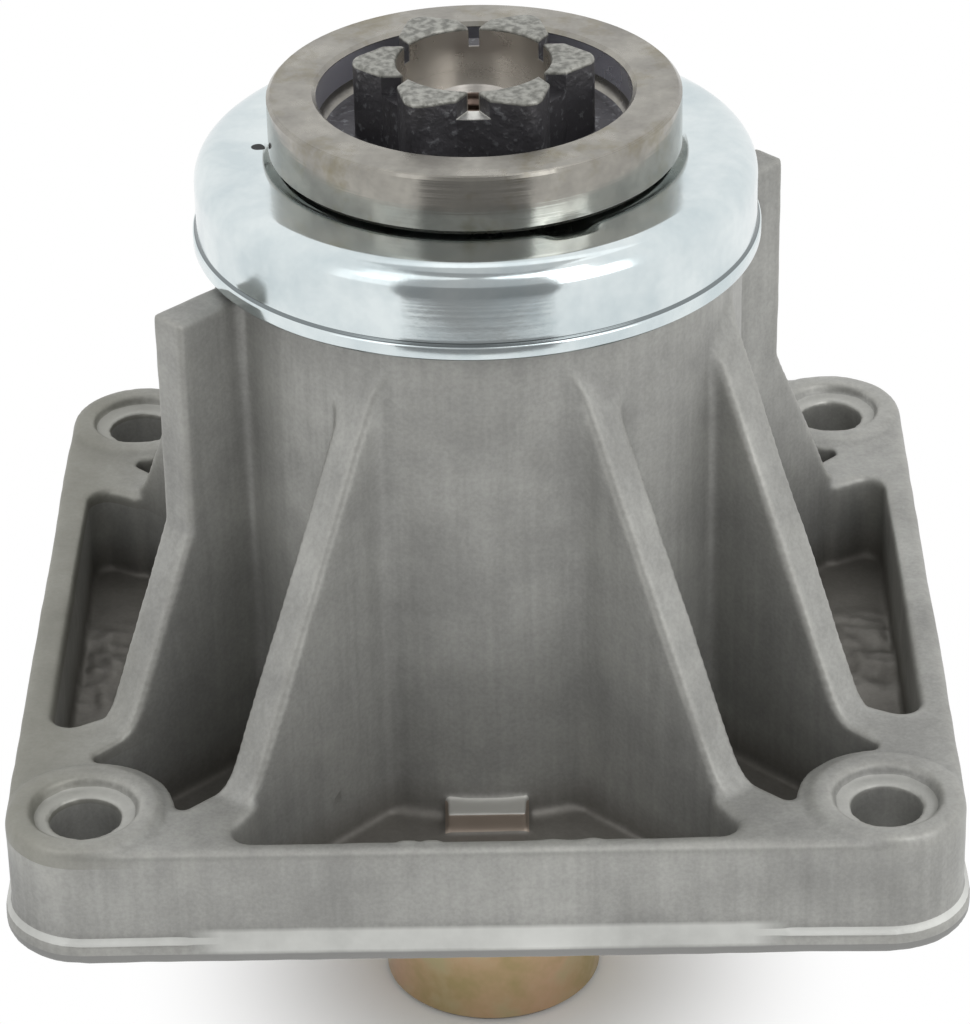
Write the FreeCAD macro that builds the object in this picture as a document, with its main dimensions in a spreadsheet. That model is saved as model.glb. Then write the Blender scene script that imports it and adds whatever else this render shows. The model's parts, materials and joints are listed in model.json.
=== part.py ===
import FreeCAD, Part
import math
import os
import re
import Sketcher

# Mower deck spindle, shown blade end up. The shaft turns about Z in two sealed ball bearings inside a
# ribbed die cast housing, and z = 0 is the face of the flange that bolts to the deck. Millimetres.

SIZES = [
    ("flange_side", "120", "side of the square flange above its foot"),
    ("flange_height", "16", "top of the rim and the corner lands"),
    ("rim_wall_front", "2.7", "rim wall on the front and back sides"),
    ("rim_wall_side", "4", "rim wall on the left and right sides"),
    ("foot_lip", "0.8", "how far the foot stands out past the flange"),
    ("foot_height", "3.7", "height of the foot band, with its bevel"),
    ("foot_tuck", "0.1", "how far the foot's bevel runs on inside the flange"),
    ("foot_under", "0.5", "bevel on the lower edge of the foot"),
    ("floor_thickness", "3", "thickness of the pocket floor above the deck face"),
    ("skirt_length", "74", "length of the sloped skirt in the middle of each side"),
    ("skirt_base", "1.4", "level where the sloped skirt starts"),
    ("skirt_height", "4", "height of the sloped skirt"),
    ("hole_inset", "10", "distance of a deck hole from the flange's sides"),
    ("deck_hole", "9", "diameter of the deck screw holes"),
    ("spot_face", "13.4", "diameter of the spot face round each deck hole"),
    ("spot_depth", "1.6", "depth of the spot face"),
    ("boss_rise", "0.6", "height of a corner boss above its land"),
    ("boss_margin", "0.4", "how far a boss lies inside the flange corner"),
    ("boss_wall", "1.2", "extra wall round a boss at the end of a rib channel"),
    ("land_half_width", "17", "half width of a corner land where it meets the rim, from the diagonal"),
    ("land_margin", "0.5", "how far a land stands out beside the foot of its ribs"),
    ("land_depth", "17.2", "distance from a deck hole back to the start of its land"),
    ("channel_round", "1", "corner radius at the outer end of a rib channel"),
    ("pocket_round", "2.5", "corner radius of the pockets, seen from above"),
    ("top_round", "1", "rounding of the upper edges of the flange"),
    ("barrel_radius", "34", "radius of the barrel"),
    ("barrel_top", "80", "height of the barrel"),
    ("barrel_foot_round", "1.5", "fillet between the barrel and the pocket floor"),
    ("barrel_edge", "0.8", "chamfer on the top edge of the barrel"),
    ("seat_lead", "0.8", "lead in chamfer of a bearing seat"),
    ("shoulder_bore", "45", "bore between the two bearing seats"),
    ("rib_offset", "11.45", "distance of a rib's middle plane from the diagonal"),
    ("rib_thickness", "5.2", "thickness of a rib"),
    ("rib_foot_gap", "15.5", "distance from a deck hole back to where a rib meets its land"),
    ("rib_drop", "6.2", "how far below the dust shield a rib's edge runs out into the barrel"),
    ("rib_sink", "0.5", "depth of a rib's foot below the top of its land"),
    ("rib_foot_round", "6", "curve of a rib's foot into its land"),
    ("rib_edge_round", "0.7", "rounding of a rib's outer edges"),
    ("root_round_outside", "3", "fillet between a rib's outer face and the barrel"),
    ("root_round_inside", "1.2", "fillet between a rib's inner face and the barrel"),
    ("fin_depth", "11.3", "how far a fin's upright edge stands out from the barrel"),
    ("fin_gap", "0.8", "gap between a fin's top and the dust shield"),
    ("lug_width", "10.4", "width of the small lug at the foot of the barrel"),
    ("lug_reach", "3.4", "how far the lug stands out from the barrel"),
    ("lug_top", "6", "height of the lug's top face"),
    ("bearing_bore", "25", "bore of a bearing"),
    ("bearing_outside", "52", "outside diameter of a bearing"),
    ("bearing_width", "15", "width of a bearing"),
    ("ring_chamfer", "1", "edge chamfer of the bearing rings"),
    ("ball_diameter", "7.938", "diameter of a ball"),
    ("ball_count", "9", "balls in a bearing"),
    ("race_relief", "0.16", "how much larger the race grooves' radius is than the balls'"),
    ("shoulder_offset", "2.1", "distance of the rings' shoulders from the circle of ball centres"),
    ("seal_ledge", "1.75", "width of the ledge that a seal rests on"),
    ("seal_seat_depth", "2", "depth of a seal seat"),
    ("seal_thickness", "1.4", "thickness of a seal at its rim"),
    ("seal_web", "0.9", "thickness of a seal's flat web"),
    ("cage_sheet", "0.7", "sheet thickness of a cage half"),
    ("cage_width", "2.8", "radial width of a cage half"),
    ("rivet_diameter", "1.2", "diameter of a cage rivet"),
    ("rivet_head", "2.2", "diameter of a rivet head"),
    ("rivet_head_height", "0.5", "height of a rivet head"),
    ("upper_recess", "1", "depth of the upper bearing below the top of the barrel"),
    ("lower_recess", "3", "depth of the lower bearing below the deck face"),
    ("spacer_wall", "3", "wall of the spacer between the inner rings"),
    ("tube_chamfer", "0.6", "edge chamfer of the spacer"),
    ("sleeve_wall", "2.5", "wall of the pulley sleeve"),
    ("sleeve_length", "47.2", "length of the pulley sleeve"),
    ("sleeve_chamfer", "0.6", "edge chamfer of the pulley sleeve"),
    ("shaft_end_recess", "1", "depth of the shaft's end inside the sleeve"),
    ("collar_rise", "3.5", "how far the collar that carries the dust shield stands out from the shaft"),
    ("collar_length", "4", "length of the collar under the blade head"),
    ("head_outside", "52.5", "outside diameter of the blade head"),
    ("head_bore", "40", "diameter of the recess in the blade head"),
    ("head_height", "8", "height of the blade head"),
    ("head_web", "2", "thickness of the web under the recess"),
    ("recess_round", "1.5", "fillet round the floor of the recess"),
    ("head_edge", "0.5", "edge chamfer of the blade head"),
    ("head_under_edge", "0.8", "chamfer on the lower edge of the blade head"),
    ("crown_rise", "4", "height of the crown's lobes above the blade seat"),
    ("crown_tip", "30.4", "diameter over the tips of the crown's lobes"),
    ("crown_hub", "24.6", "diameter of the crown between its lobes"),
    ("crown_slot_drop", "2.8", "depth of the slots below the tops of the lobes"),
    ("crown_bore", "19.6", "diameter of the counterbore in the crown"),
    ("crown_bore_depth", "6", "depth of that counterbore below the lobes"),
    ("lobe_count", "6", "lobes of the crown"),
    ("lobe_root_width", "8.6", "width of a lobe where it leaves the hub"),
    ("lobe_tip_width", "3.4", "width of a lobe at its tip"),
    ("lobe_tip_round", "2.2", "radius of a lobe's rounded tip"),
    ("lobe_edge_round", "0.5", "rounding of a lobe's top edges"),
    ("tapped_hole", "9", "diameter of the tapped holes in the shaft's ends"),
    ("tapped_lead", "0.8", "lead in chamfer of the tapped holes"),
    ("tapped_depth", "28", "depth of those holes"),
    ("drill_point", "118", "point angle of the drill that made them, in degrees"),
    ("shield_gap", "0.6", "running gap between the dust shield and the barrel"),
    ("shield_sheet", "1.3", "sheet thickness of the dust shield"),
    ("shield_height", "11.8", "height of the dust shield"),
    ("shield_round", "3.6", "outer radius of the shield's shoulder"),
    ("shield_bead", "2.1", "height of the rolled bead at the shield's rim"),
    ("shield_neck_in", "0.5", "how far the skirt lies inside the bead"),
    ("seat_clearance", "0.02", "radial clearance of pieces that are pressed together"),
    ("ball_clearance", "0.04", "radial clearance of a ball in its races"),
    ("lip_clearance", "0.08", "radial clearance of a seal lip on the inner ring"),
    ("pocket_clearance", "0.15", "clearance of a ball in its cage"),
]

doc = FreeCAD.newDocument("mower_spindle")
sheet = doc.addObject("Spreadsheet::Sheet", "Sizes")
for row, (alias, number, note) in enumerate(SIZES, start=1):
    sheet.set(f"A{row}", note)
    sheet.set(f"B{row}", number)
    sheet.setAlias(f"B{row}", alias)
doc.recompute()

NAMES = re.compile(r"\b(" + "|".join(alias for alias, number, note in SIZES) + r")\b")


def bound(text):
    """The expression with each size's name pointing at its cell."""
    return NAMES.sub(r"Sizes.\1", text)


def value(text):
    """The expression's present value."""
    return float(sheet.evalExpression(bound(text)))


# Lengths closer than this count as equal when edges are picked out
CLOSE = 1e-3

# A rounding takes at most this share of the wall that it is on
ROUND_SHARE = 0.35

# Levels and radii that several pieces share
BORE = "(bearing_bore / 2)"
LOWER_BEARING = "(lower_recess + bearing_width / 2)"
UPPER_BEARING = "(barrel_top - upper_recess - bearing_width / 2)"
LOWER_SHOULDER = "(lower_recess + bearing_width)"
UPPER_SHOULDER = "(barrel_top - upper_recess - bearing_width)"
UPPER_FACE = "(barrel_top - upper_recess)"
HEAD_UNDER = f"({UPPER_FACE} + collar_length)"
HEAD_TOP = f"({HEAD_UNDER} + head_height)"
LOBE_TOP = f"({HEAD_TOP} + crown_rise)"
SHIELD_RIM = f"({HEAD_UNDER} - shield_height)"
SLEEVE_END = "(lower_recess - sleeve_length)"
SHAFT_END = f"({SLEEVE_END} + shaft_end_recess)"
SEAT = "(bearing_outside / 2 + seat_clearance)"
HOLE_OUT = "(flange_side / 2 - hole_inset)"
HOLE_ALONG = f"({HOLE_OUT} * sqrt(2))"
LAND_START = f"({HOLE_ALONG} - land_depth)"
RIB_IN = "(rib_offset - rib_thickness / 2)"
RIB_OUT = "(rib_offset + rib_thickness / 2)"
BOSS_ROUND = "(hole_inset + boss_wall)"
CHANNEL_END = f"({HOLE_ALONG} - sqrt({BOSS_ROUND}^2 - {RIB_IN}^2))"
LAND_NECK = f"({RIB_OUT} + land_margin)"
IN_FLOOR = "(floor_thickness / 2)"
MID_WALL = f"(({SEAT} + barrel_radius) / 2)"
RECESS_FLOOR = f"({HEAD_UNDER} + head_web)"
SLOT_FLOOR = f"({LOBE_TOP} - crown_slot_drop)"
CROWN_FLOOR = f"({LOBE_TOP} - crown_bore_depth)"


# Drawing
def body_of(name):
    body = doc.addObject("PartDesign::Body", name)
    body.Label = name
    return body


def origin_feature(body, role):
    return next(item for item in body.Origin.OriginFeatures if item.Role == role)


def new_sketch(body, name, role, lift="0"):
    """An empty sketch on one of the body's origin planes, moved along the plane's normal by lift."""
    sketch = body.newObject("Sketcher::SketchObject", name)
    sketch.AttachmentSupport = [(origin_feature(body, role), "")]
    sketch.MapMode = "FlatFace"
    if lift != "0":
        sketch.setExpression("AttachmentOffset.Base.z", bound(lift))
    return sketch


def fix_coordinate(sketch, kind, axis, geometry, position, text):
    """Holds one coordinate of a sketch point at an expression, or on an axis where that is nought."""
    if text == "0":
        sketch.addConstraint(Sketcher.Constraint("PointOnObject", geometry, position, axis))
        return
    number = value(text)
    index = sketch.addConstraint(Sketcher.Constraint(kind, -1, 1, geometry, position, number))
    sketch.setExpression(f"Constraints[{index}]", bound(text))


def fix_point(sketch, geometry, position, x_text, y_text):
    fix_coordinate(sketch, "DistanceX", -2, geometry, position, x_text)
    fix_coordinate(sketch, "DistanceY", -1, geometry, position, y_text)


def arc_between(start, end, radius, turn):
    """The shorter arc from start to end that turns left (turn 1) or right (turn -1)."""
    chord = end - start
    left = FreeCAD.Vector(-chord.y, chord.x, 0).normalize()
    height = math.sqrt(max(radius ** 2 - chord.Length ** 2 / 4, 0))
    centre = (start + end) / 2 + left * (height * turn)
    first, last = (start, end) if turn > 0 else (end, start)
    angles = [math.atan2(point.y - centre.y, point.x - centre.x) for point in (first, last)]
    circle = Part.Circle(centre, FreeCAD.Vector(0, 0, 1), radius)
    return Part.ArcOfCircle(circle, angles[0], angles[1])


def add_loop(sketch, corners):
    """A closed outline. A corner is (x, y), and the edge that leaves it is straight, or
    (x, y, radius, turn), and that edge is an arc. Every corner is bound to its expressions."""
    points = [FreeCAD.Vector(value(corner[0]), value(corner[1]), 0) for corner in corners]
    ends = []
    for index, corner in enumerate(corners):
        start = points[index]
        end = points[(index + 1) % len(points)]
        if len(corner) == 2:
            edge = sketch.addGeometry(Part.LineSegment(start, end), False)
            ends.append((edge, 1, 2))
        else:
            radius_text, turn = corner[2], corner[3]
            edge = sketch.addGeometry(arc_between(start, end, value(radius_text), turn), False)
            ends.append((edge, 1, 2) if turn > 0 else (edge, 2, 1))
    for index, (edge, first, last) in enumerate(ends):
        following = ends[(index + 1) % len(ends)]
        sketch.addConstraint(Sketcher.Constraint("Coincident", edge, last, following[0], following[1]))
    for (edge, first, last), corner in zip(ends, corners):
        fix_point(sketch, edge, first, corner[0], corner[1])
        if len(corner) == 4:
            number = sketch.addConstraint(Sketcher.Constraint("Radius", edge, value(corner[2])))
            sketch.setExpression(f"Constraints[{number}]", bound(corner[2]))


def add_circle(sketch, x_text, y_text, radius_text):
    centre = FreeCAD.Vector(value(x_text), value(y_text), 0)
    circle = Part.Circle(centre, FreeCAD.Vector(0, 0, 1), value(radius_text))
    edge = sketch.addGeometry(circle, False)
    fix_point(sketch, edge, 3, x_text, y_text)
    index = sketch.addConstraint(Sketcher.Constraint("Radius", edge, value(radius_text)))
    sketch.setExpression(f"Constraints[{index}]", bound(radius_text))


def rounded_square(half, radius):
    """Corners of a square with round corners, anticlockwise from the right side's lower end."""
    straight = f"({half} - {radius})"
    return [
        (half, f"-{straight}"),
        (half, straight, radius, 1),
        (straight, half),
        (f"-{straight}", half, radius, 1),
        (f"-{half}", straight),
        (f"-{half}", f"-{straight}", radius, 1),
        (f"-{straight}", f"-{half}"),
        (straight, f"-{half}", radius, 1),
    ]


# Features
def revolve(body, name, corners):
    """A section in the XZ plane, turned a full circle about Z."""
    sketch = new_sketch(body, f"{name}_section", "XZ_Plane")
    add_loop(sketch, corners)
    feature = body.newObject("PartDesign::Revolution", name)
    feature.Profile = sketch
    feature.ReferenceAxis = (sketch, ["V_Axis"])
    feature.Angle = 360
    return feature


def pad(body, sketch, name, length, both_ways=False):
    feature = body.newObject("PartDesign::Pad", name)
    feature.Profile = sketch
    feature.setExpression("Length", bound(length))
    if both_ways:
        feature.SideType = "Symmetric"
    return feature


def pocket(body, sketch, name, depth, both_ways=False):
    """Cuts downwards from the sketch, or both ways, and stops if nothing was cut."""
    doc.recompute()
    before = body.Shape.Volume
    feature = body.newObject("PartDesign::Pocket", name)
    feature.Profile = sketch
    feature.setExpression("Length", bound(depth))
    if both_ways:
        feature.SideType = "Symmetric"
    doc.recompute()
    if body.Shape.Volume >= before:
        raise RuntimeError(f"{name} cuts nothing")
    return feature


def around(body, name, originals, count):
    """Repeats features evenly about Z."""
    feature = body.newObject("PartDesign::PolarPattern", name)
    feature.Originals = originals
    feature.Axis = (origin_feature(body, "Z_Axis"), [""])
    feature.Angle = 360
    feature.setExpression("Occurrences", bound(count))
    body.Tip = feature
    return feature


def picked(base, wanted):
    """A feature with the names of those of its edges that the test picks out."""
    doc.recompute()
    return base, [f"Edge{index}" for index, edge in enumerate(base.Shape.Edges, start=1) if wanted(edge)]


def fillet(body, name, base, wanted, radius):
    """Rounds the edges of base that the test picks out."""
    feature = body.newObject("PartDesign::Fillet", name)
    feature.Base = picked(base, wanted)
    feature.setExpression("Radius", bound(radius))
    return feature


def bevel(body, name, base, wanted, size):
    """Cuts the edges of base that the test picks out back at 45 degrees."""
    feature = body.newObject("PartDesign::Chamfer", name)
    feature.Base = picked(base, wanted)
    feature.setExpression("Size", bound(size))
    return feature


def level(edge, height):
    """True for an edge that lies flat at a height."""
    box = edge.BoundBox
    return abs(box.ZMin - height) < CLOSE and abs(box.ZMax - height) < CLOSE


def upright(edge):
    box = edge.BoundBox
    return box.ZLength > CLOSE and max(box.XLength, box.YLength) < CLOSE


# Housing
def quarter_points(quarter, points):
    """Turns outline corners by quarter turns about Z."""
    turned = []
    for x_text, y_text, *arc in points:
        pairs = [
            (x_text, y_text),
            (f"-({y_text})", x_text),
            (f"-({x_text})", f"-({y_text})"),
            (y_text, f"-({x_text})"),
        ]
        turned.append((*pairs[quarter], *arc))
    return turned


def on_diagonal(along, across):
    """The x and y of a point at a distance along the first diagonal and across it."""
    return f"(({along}) - ({across})) / sqrt(2)", f"(({along}) + ({across})) / sqrt(2)"


def cavity_corners():
    """The pockets between the rim, the corner lands and the bosses, as one outline."""
    side = "(flange_side / 2 - rim_wall_side)"
    front = "(flange_side / 2 - rim_wall_front)"
    corners = []
    for quarter in range(4):
        first, last = (side, front) if quarter % 2 == 0 else (front, side)
        local = [
            (first, f"{first} - land_half_width * sqrt(2)"),
            on_diagonal(LAND_START, f"-{LAND_NECK}"),
            on_diagonal(LAND_START, f"-{RIB_IN}"),
            (*on_diagonal(CHANNEL_END, f"-{RIB_IN}"), BOSS_ROUND, -1),
            on_diagonal(CHANNEL_END, RIB_IN),
            on_diagonal(LAND_START, RIB_IN),
            on_diagonal(LAND_START, LAND_NECK),
            (f"{last} - land_half_width * sqrt(2)", last),
        ]
        corners += quarter_points(quarter, local)
    return corners


def add_corner_circles(sketch, radius):
    """One circle round each deck hole."""
    for x_sign, y_sign in ((1, 1), (-1, 1), (-1, -1), (1, -1)):
        add_circle(sketch, f"{x_sign} * {HOLE_OUT}", f"{y_sign} * {HOLE_OUT}", radius)


def diagonal_place(edge):
    """How far the middle of an edge lies along the nearest diagonal, and across it."""
    point = edge.valueAt((edge.FirstParameter + edge.LastParameter) / 2)
    along = (abs(point.x) + abs(point.y)) / math.sqrt(2)
    across = abs(abs(point.x) - abs(point.y)) / math.sqrt(2)
    return along, across


def build_foot(body):
    """The band round the flange's lower edge, bevelled above and below."""
    half = "(flange_side / 2)"
    tuck = "(rim_wall_front / 2)"
    outline = new_sketch(body, "foot_outline", "XY_Plane")
    add_loop(outline, rounded_square(f"({half} + foot_lip)", "(hole_inset + foot_lip)"))
    add_loop(outline, rounded_square(f"({half} - {tuck})", f"(hole_inset - {tuck})"))
    band = pad(body, outline, "foot", "foot_height")
    wall = value(half)
    corner_along = value(f"({half} - hole_inset) * sqrt(2) + hole_inset")
    band_top = value("foot_height")

    def outside(edge):
        along, across = diagonal_place(edge)
        return (along + across) / math.sqrt(2) > wall + CLOSE or along > corner_along + CLOSE

    upper = bevel(body, "foot_upper_bevel", band, lambda edge: level(edge, band_top) and outside(edge),
                  "foot_lip + foot_tuck")
    bevel(body, "foot_lower_bevel", upper, lambda edge: level(edge, 0) and outside(edge), "foot_under")


def build_skirts(body):
    """In the middle of each side the foot is cut down and a sloped skirt rises from it instead."""
    half = "(flange_side / 2)"
    notch = new_sketch(body, "skirt_notch_outline", "XY_Plane", "foot_height")
    add_loop(notch, [
        (half, "-skirt_length / 2"),
        (f"{half} + 2 * foot_lip", "-skirt_length / 2"),
        (f"{half} + 2 * foot_lip", "skirt_length / 2"),
        (half, "skirt_length / 2"),
    ])
    notch_cut = pocket(body, notch, "skirt_notch", "foot_height - skirt_base")
    skirt = new_sketch(body, "skirt_section", "XZ_Plane")
    add_loop(skirt, [
        (half, "skirt_base"),
        (f"{half} + foot_lip", "skirt_base"),
        (half, "skirt_base + skirt_height"),
    ])
    skirt_pad = pad(body, skirt, "skirt", "skirt_length", both_ways=True)
    around(body, "skirts", [notch_cut, skirt_pad], "4")


def build_flange(body):
    half = "(flange_side / 2)"
    build_foot(body)
    floor = new_sketch(body, "floor_outline", "XY_Plane")
    add_loop(floor, rounded_square(half, "hole_inset"))
    add_circle(floor, "0", "0", MID_WALL)
    pad(body, floor, "floor", "floor_thickness")

    rim = new_sketch(body, "rim_outline", "XY_Plane", "floor_thickness")
    add_loop(rim, rounded_square(half, "hole_inset"))
    add_loop(rim, cavity_corners())
    rim_pad = pad(body, rim, "rim", "flange_height - floor_thickness")

    floor_top = value("floor_thickness")
    rim_top = value("flange_height")
    land_edges = (value("land_half_width"), value(LAND_NECK))
    channel_edge = value(RIB_IN)
    channel_end = value(CHANNEL_END)
    hole_along = value(HOLE_ALONG)

    def pocket_corner(edge):
        across = diagonal_place(edge)[1]
        return upright(edge) and any(abs(across - place) < CLOSE for place in land_edges)

    def channel_corner(edge):
        along, across = diagonal_place(edge)
        at_end = abs(across - channel_edge) < CLOSE and abs(along - channel_end) < CLOSE
        return upright(edge) and edge.BoundBox.ZMin > floor_top - CLOSE and at_end

    def rim_edge(edge):
        along, across = diagonal_place(edge)
        in_channel = across < channel_edge + CLOSE and along < hole_along
        return level(edge, rim_top) and not in_channel

    cornered = fillet(body, "channel_corners", rim_pad, channel_corner, "channel_round")
    rounded = fillet(body, "pocket_corners", cornered, pocket_corner, "pocket_round")
    fillet(body, "rim_edges", rounded, rim_edge, f"min(top_round; {ROUND_SHARE} * rim_wall_front)")

    boss = new_sketch(body, "boss_outline", "XY_Plane", "flange_height - top_round")
    add_corner_circles(boss, "hole_inset - boss_margin")
    pad(body, boss, "bosses", "top_round + boss_rise")
    build_skirts(body)


def build_barrel(body):
    """The barrel's section, with a seat for a bearing at each end of the bore."""
    revolve(body, "barrel", [
        (f"{SEAT} + seat_lead", "0"),
        ("barrel_radius + barrel_foot_round", "0"),
        ("barrel_radius + barrel_foot_round", "floor_thickness", "barrel_foot_round", -1),
        ("barrel_radius", "floor_thickness + barrel_foot_round"),
        ("barrel_radius", "barrel_top - barrel_edge"),
        ("barrel_radius - barrel_edge", "barrel_top"),
        (f"{SEAT} + seat_lead", "barrel_top"),
        (SEAT, "barrel_top - seat_lead"),
        (SEAT, UPPER_SHOULDER),
        ("shoulder_bore / 2", UPPER_SHOULDER),
        ("shoulder_bore / 2", LOWER_SHOULDER),
        (SEAT, LOWER_SHOULDER),
        (SEAT, "seat_lead"),
    ])
    lug = new_sketch(body, "lug_outline", "XY_Plane", IN_FLOOR)
    add_loop(lug, [
        ("-lug_width / 2", "-(barrel_radius + lug_reach)"),
        ("lug_width / 2", "-(barrel_radius + lug_reach)"),
        ("lug_width / 2", f"-{MID_WALL}"),
        ("-lug_width / 2", f"-{MID_WALL}"),
    ])
    pad(body, lug, "lug", f"lug_top - {IN_FLOOR}")


def drill_deck_holes(body):
    holes = new_sketch(body, "deck_hole_circles", "XY_Plane", "flange_height + boss_rise")
    add_corner_circles(holes, "deck_hole / 2")
    pocket(body, holes, "deck_holes", "flange_height + boss_rise")
    faces = new_sketch(body, "spot_face_circles", "XY_Plane", "flange_height + boss_rise")
    add_corner_circles(faces, "spot_face / 2")
    pocket(body, faces, "spot_faces", "spot_depth")


FIN_TOP = f"({SHIELD_RIM} - fin_gap)"
RIB_FOOT = f"({HOLE_ALONG} - rib_foot_gap)"
RIB_TOP = f"({SHIELD_RIM} - rib_drop)"
BARREL_ALONG = "sqrt(barrel_radius^2 - rib_offset^2)"
RIB_SLOPE = f"(({RIB_FOOT} - {BARREL_ALONG}) / ({RIB_TOP} - flange_height))"
FIN_ALONG = f"({BARREL_ALONG} + fin_depth)"


def root_points(face, round_size, way):
    """The fillet between a rib's face and the barrel, seen from above. The face lies at a distance
    across the diagonal, and way is 1 where it looks away from the diagonal. Gives, as distances along
    and across, where the fillet leaves the face, where it reaches the barrel, and a point inside the
    barrel's wall."""
    centre_out = f"(barrel_radius + {round_size})"
    across = f"({face} + {way} * {round_size})"
    along = f"sqrt({centre_out}^2 - {across}^2)"
    on_barrel = f"(barrel_radius / {centre_out})"
    in_wall = f"({MID_WALL} / {centre_out})"
    return [
        (along, face),
        (f"{on_barrel} * {along}", f"{on_barrel} * {across}"),
        (f"{in_wall} * {along}", f"{in_wall} * {across}"),
    ]


def build_rib(name, corner_angle, side, tall):
    """One upright plate beside a diagonal, flared where it joins the barrel. Its edge leans in to the
    barrel or, on a fin, stands upright from where it reaches the fin's width."""
    body = body_of(name)
    sink_level = "(flange_height - rib_sink)"
    meeting = f"({RIB_FOOT} + {RIB_SLOPE} * rib_sink)"
    slant = f"sqrt(1 + {RIB_SLOPE}^2)"
    tangent = f"(rib_foot_round * ({slant} - {RIB_SLOPE}))"
    buried = f"({meeting} + {tangent} + rib_sink)"
    inner_face, inner_barrel, inner_wall = root_points(RIB_IN, "root_round_inside", -1)
    outer_face, outer_barrel, outer_wall = root_points(RIB_OUT, "root_round_outside", 1)
    run_out = f"({outer_barrel[0]} - rib_sink)"
    top = FIN_TOP if tall else f"(flange_height + ({RIB_FOOT} - {run_out}) / {RIB_SLOPE})"

    section = new_sketch(body, f"{name}_section", "XY_Plane", IN_FLOOR)
    outline = [
        inner_wall,
        (*inner_barrel, "root_round_inside", -side),
        inner_face,
        (buried, RIB_IN),
        (buried, RIB_OUT),
        (*outer_face, "root_round_outside", -side),
        outer_barrel,
        outer_wall,
    ]
    add_loop(section, [(along, f"{side} * {across}", *arc) for along, across, *arc in outline])
    pad(body, section, f"{name}_plate", f"{top} - {IN_FLOOR}")

    beyond = f"({buried} + rib_sink)"
    above = f"({top} + rib_sink)"
    waste = [(beyond, sink_level), (beyond, above)]
    if tall:
        waste += [
            (FIN_ALONG, above),
            (FIN_ALONG, f"flange_height + ({RIB_FOOT} - {FIN_ALONG}) / {RIB_SLOPE}"),
        ]
    else:
        waste += [(f"{run_out} - rib_sink * {RIB_SLOPE}", above)]
    waste += [
        (f"{meeting} - {tangent} * {RIB_SLOPE} / {slant}", f"{sink_level} + {tangent} / {slant}",
         "rib_foot_round", 1),
        (f"{meeting} + {tangent}", sink_level),
    ]
    trim = new_sketch(body, f"{name}_waste_outline", "XZ_Plane")
    add_loop(trim, waste)
    both_sides = f"2 * ({RIB_OUT} + root_round_outside + rib_sink)"
    trimmed = pocket(body, trim, f"{name}_edge", both_sides, both_ways=True)
    foot_level = value(sink_level)
    fin_along = value(FIN_ALONG)

    def outer(edge):
        box = edge.BoundBox
        along_plate = box.YLength < CLOSE
        leaning = box.XLength > CLOSE and box.ZLength > CLOSE
        fin_edge = tall and box.XMax > fin_along - CLOSE and box.ZMin > foot_level + CLOSE
        return along_plate and (leaning or fin_edge)

    fillet(body, f"{name}_edges", trimmed, outer, f"min(rib_edge_round; {ROUND_SHARE} * rib_thickness)")
    turn = FreeCAD.Rotation(FreeCAD.Vector(0, 0, 1), corner_angle)
    body.Placement = FreeCAD.Placement(FreeCAD.Vector(), turn)
    return body


def build_housing():
    """One casting: flange, barrel and lug, joined to eight ribs. Two opposite ribs are tall fins."""
    casting = body_of("casting")
    build_flange(casting)
    build_barrel(casting)
    drill_deck_holes(casting)
    ribs = []
    for number, corner_angle in enumerate((45, 135, 225, 315), start=1):
        for side, word in ((1, "left"), (-1, "right")):
            tall = (corner_angle, side) in ((225, -1), (45, -1))
            ribs.append(build_rib(f"rib_{number}_{word}", corner_angle, side, tall))
    housing = doc.addObject("Part::MultiFuse", "housing")
    housing.Shapes = [casting, *ribs]
    housing.Refine = True
    return housing


# Turned and pressed pieces on the shaft
COLLAR = f"({BORE} + collar_rise)"


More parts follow.
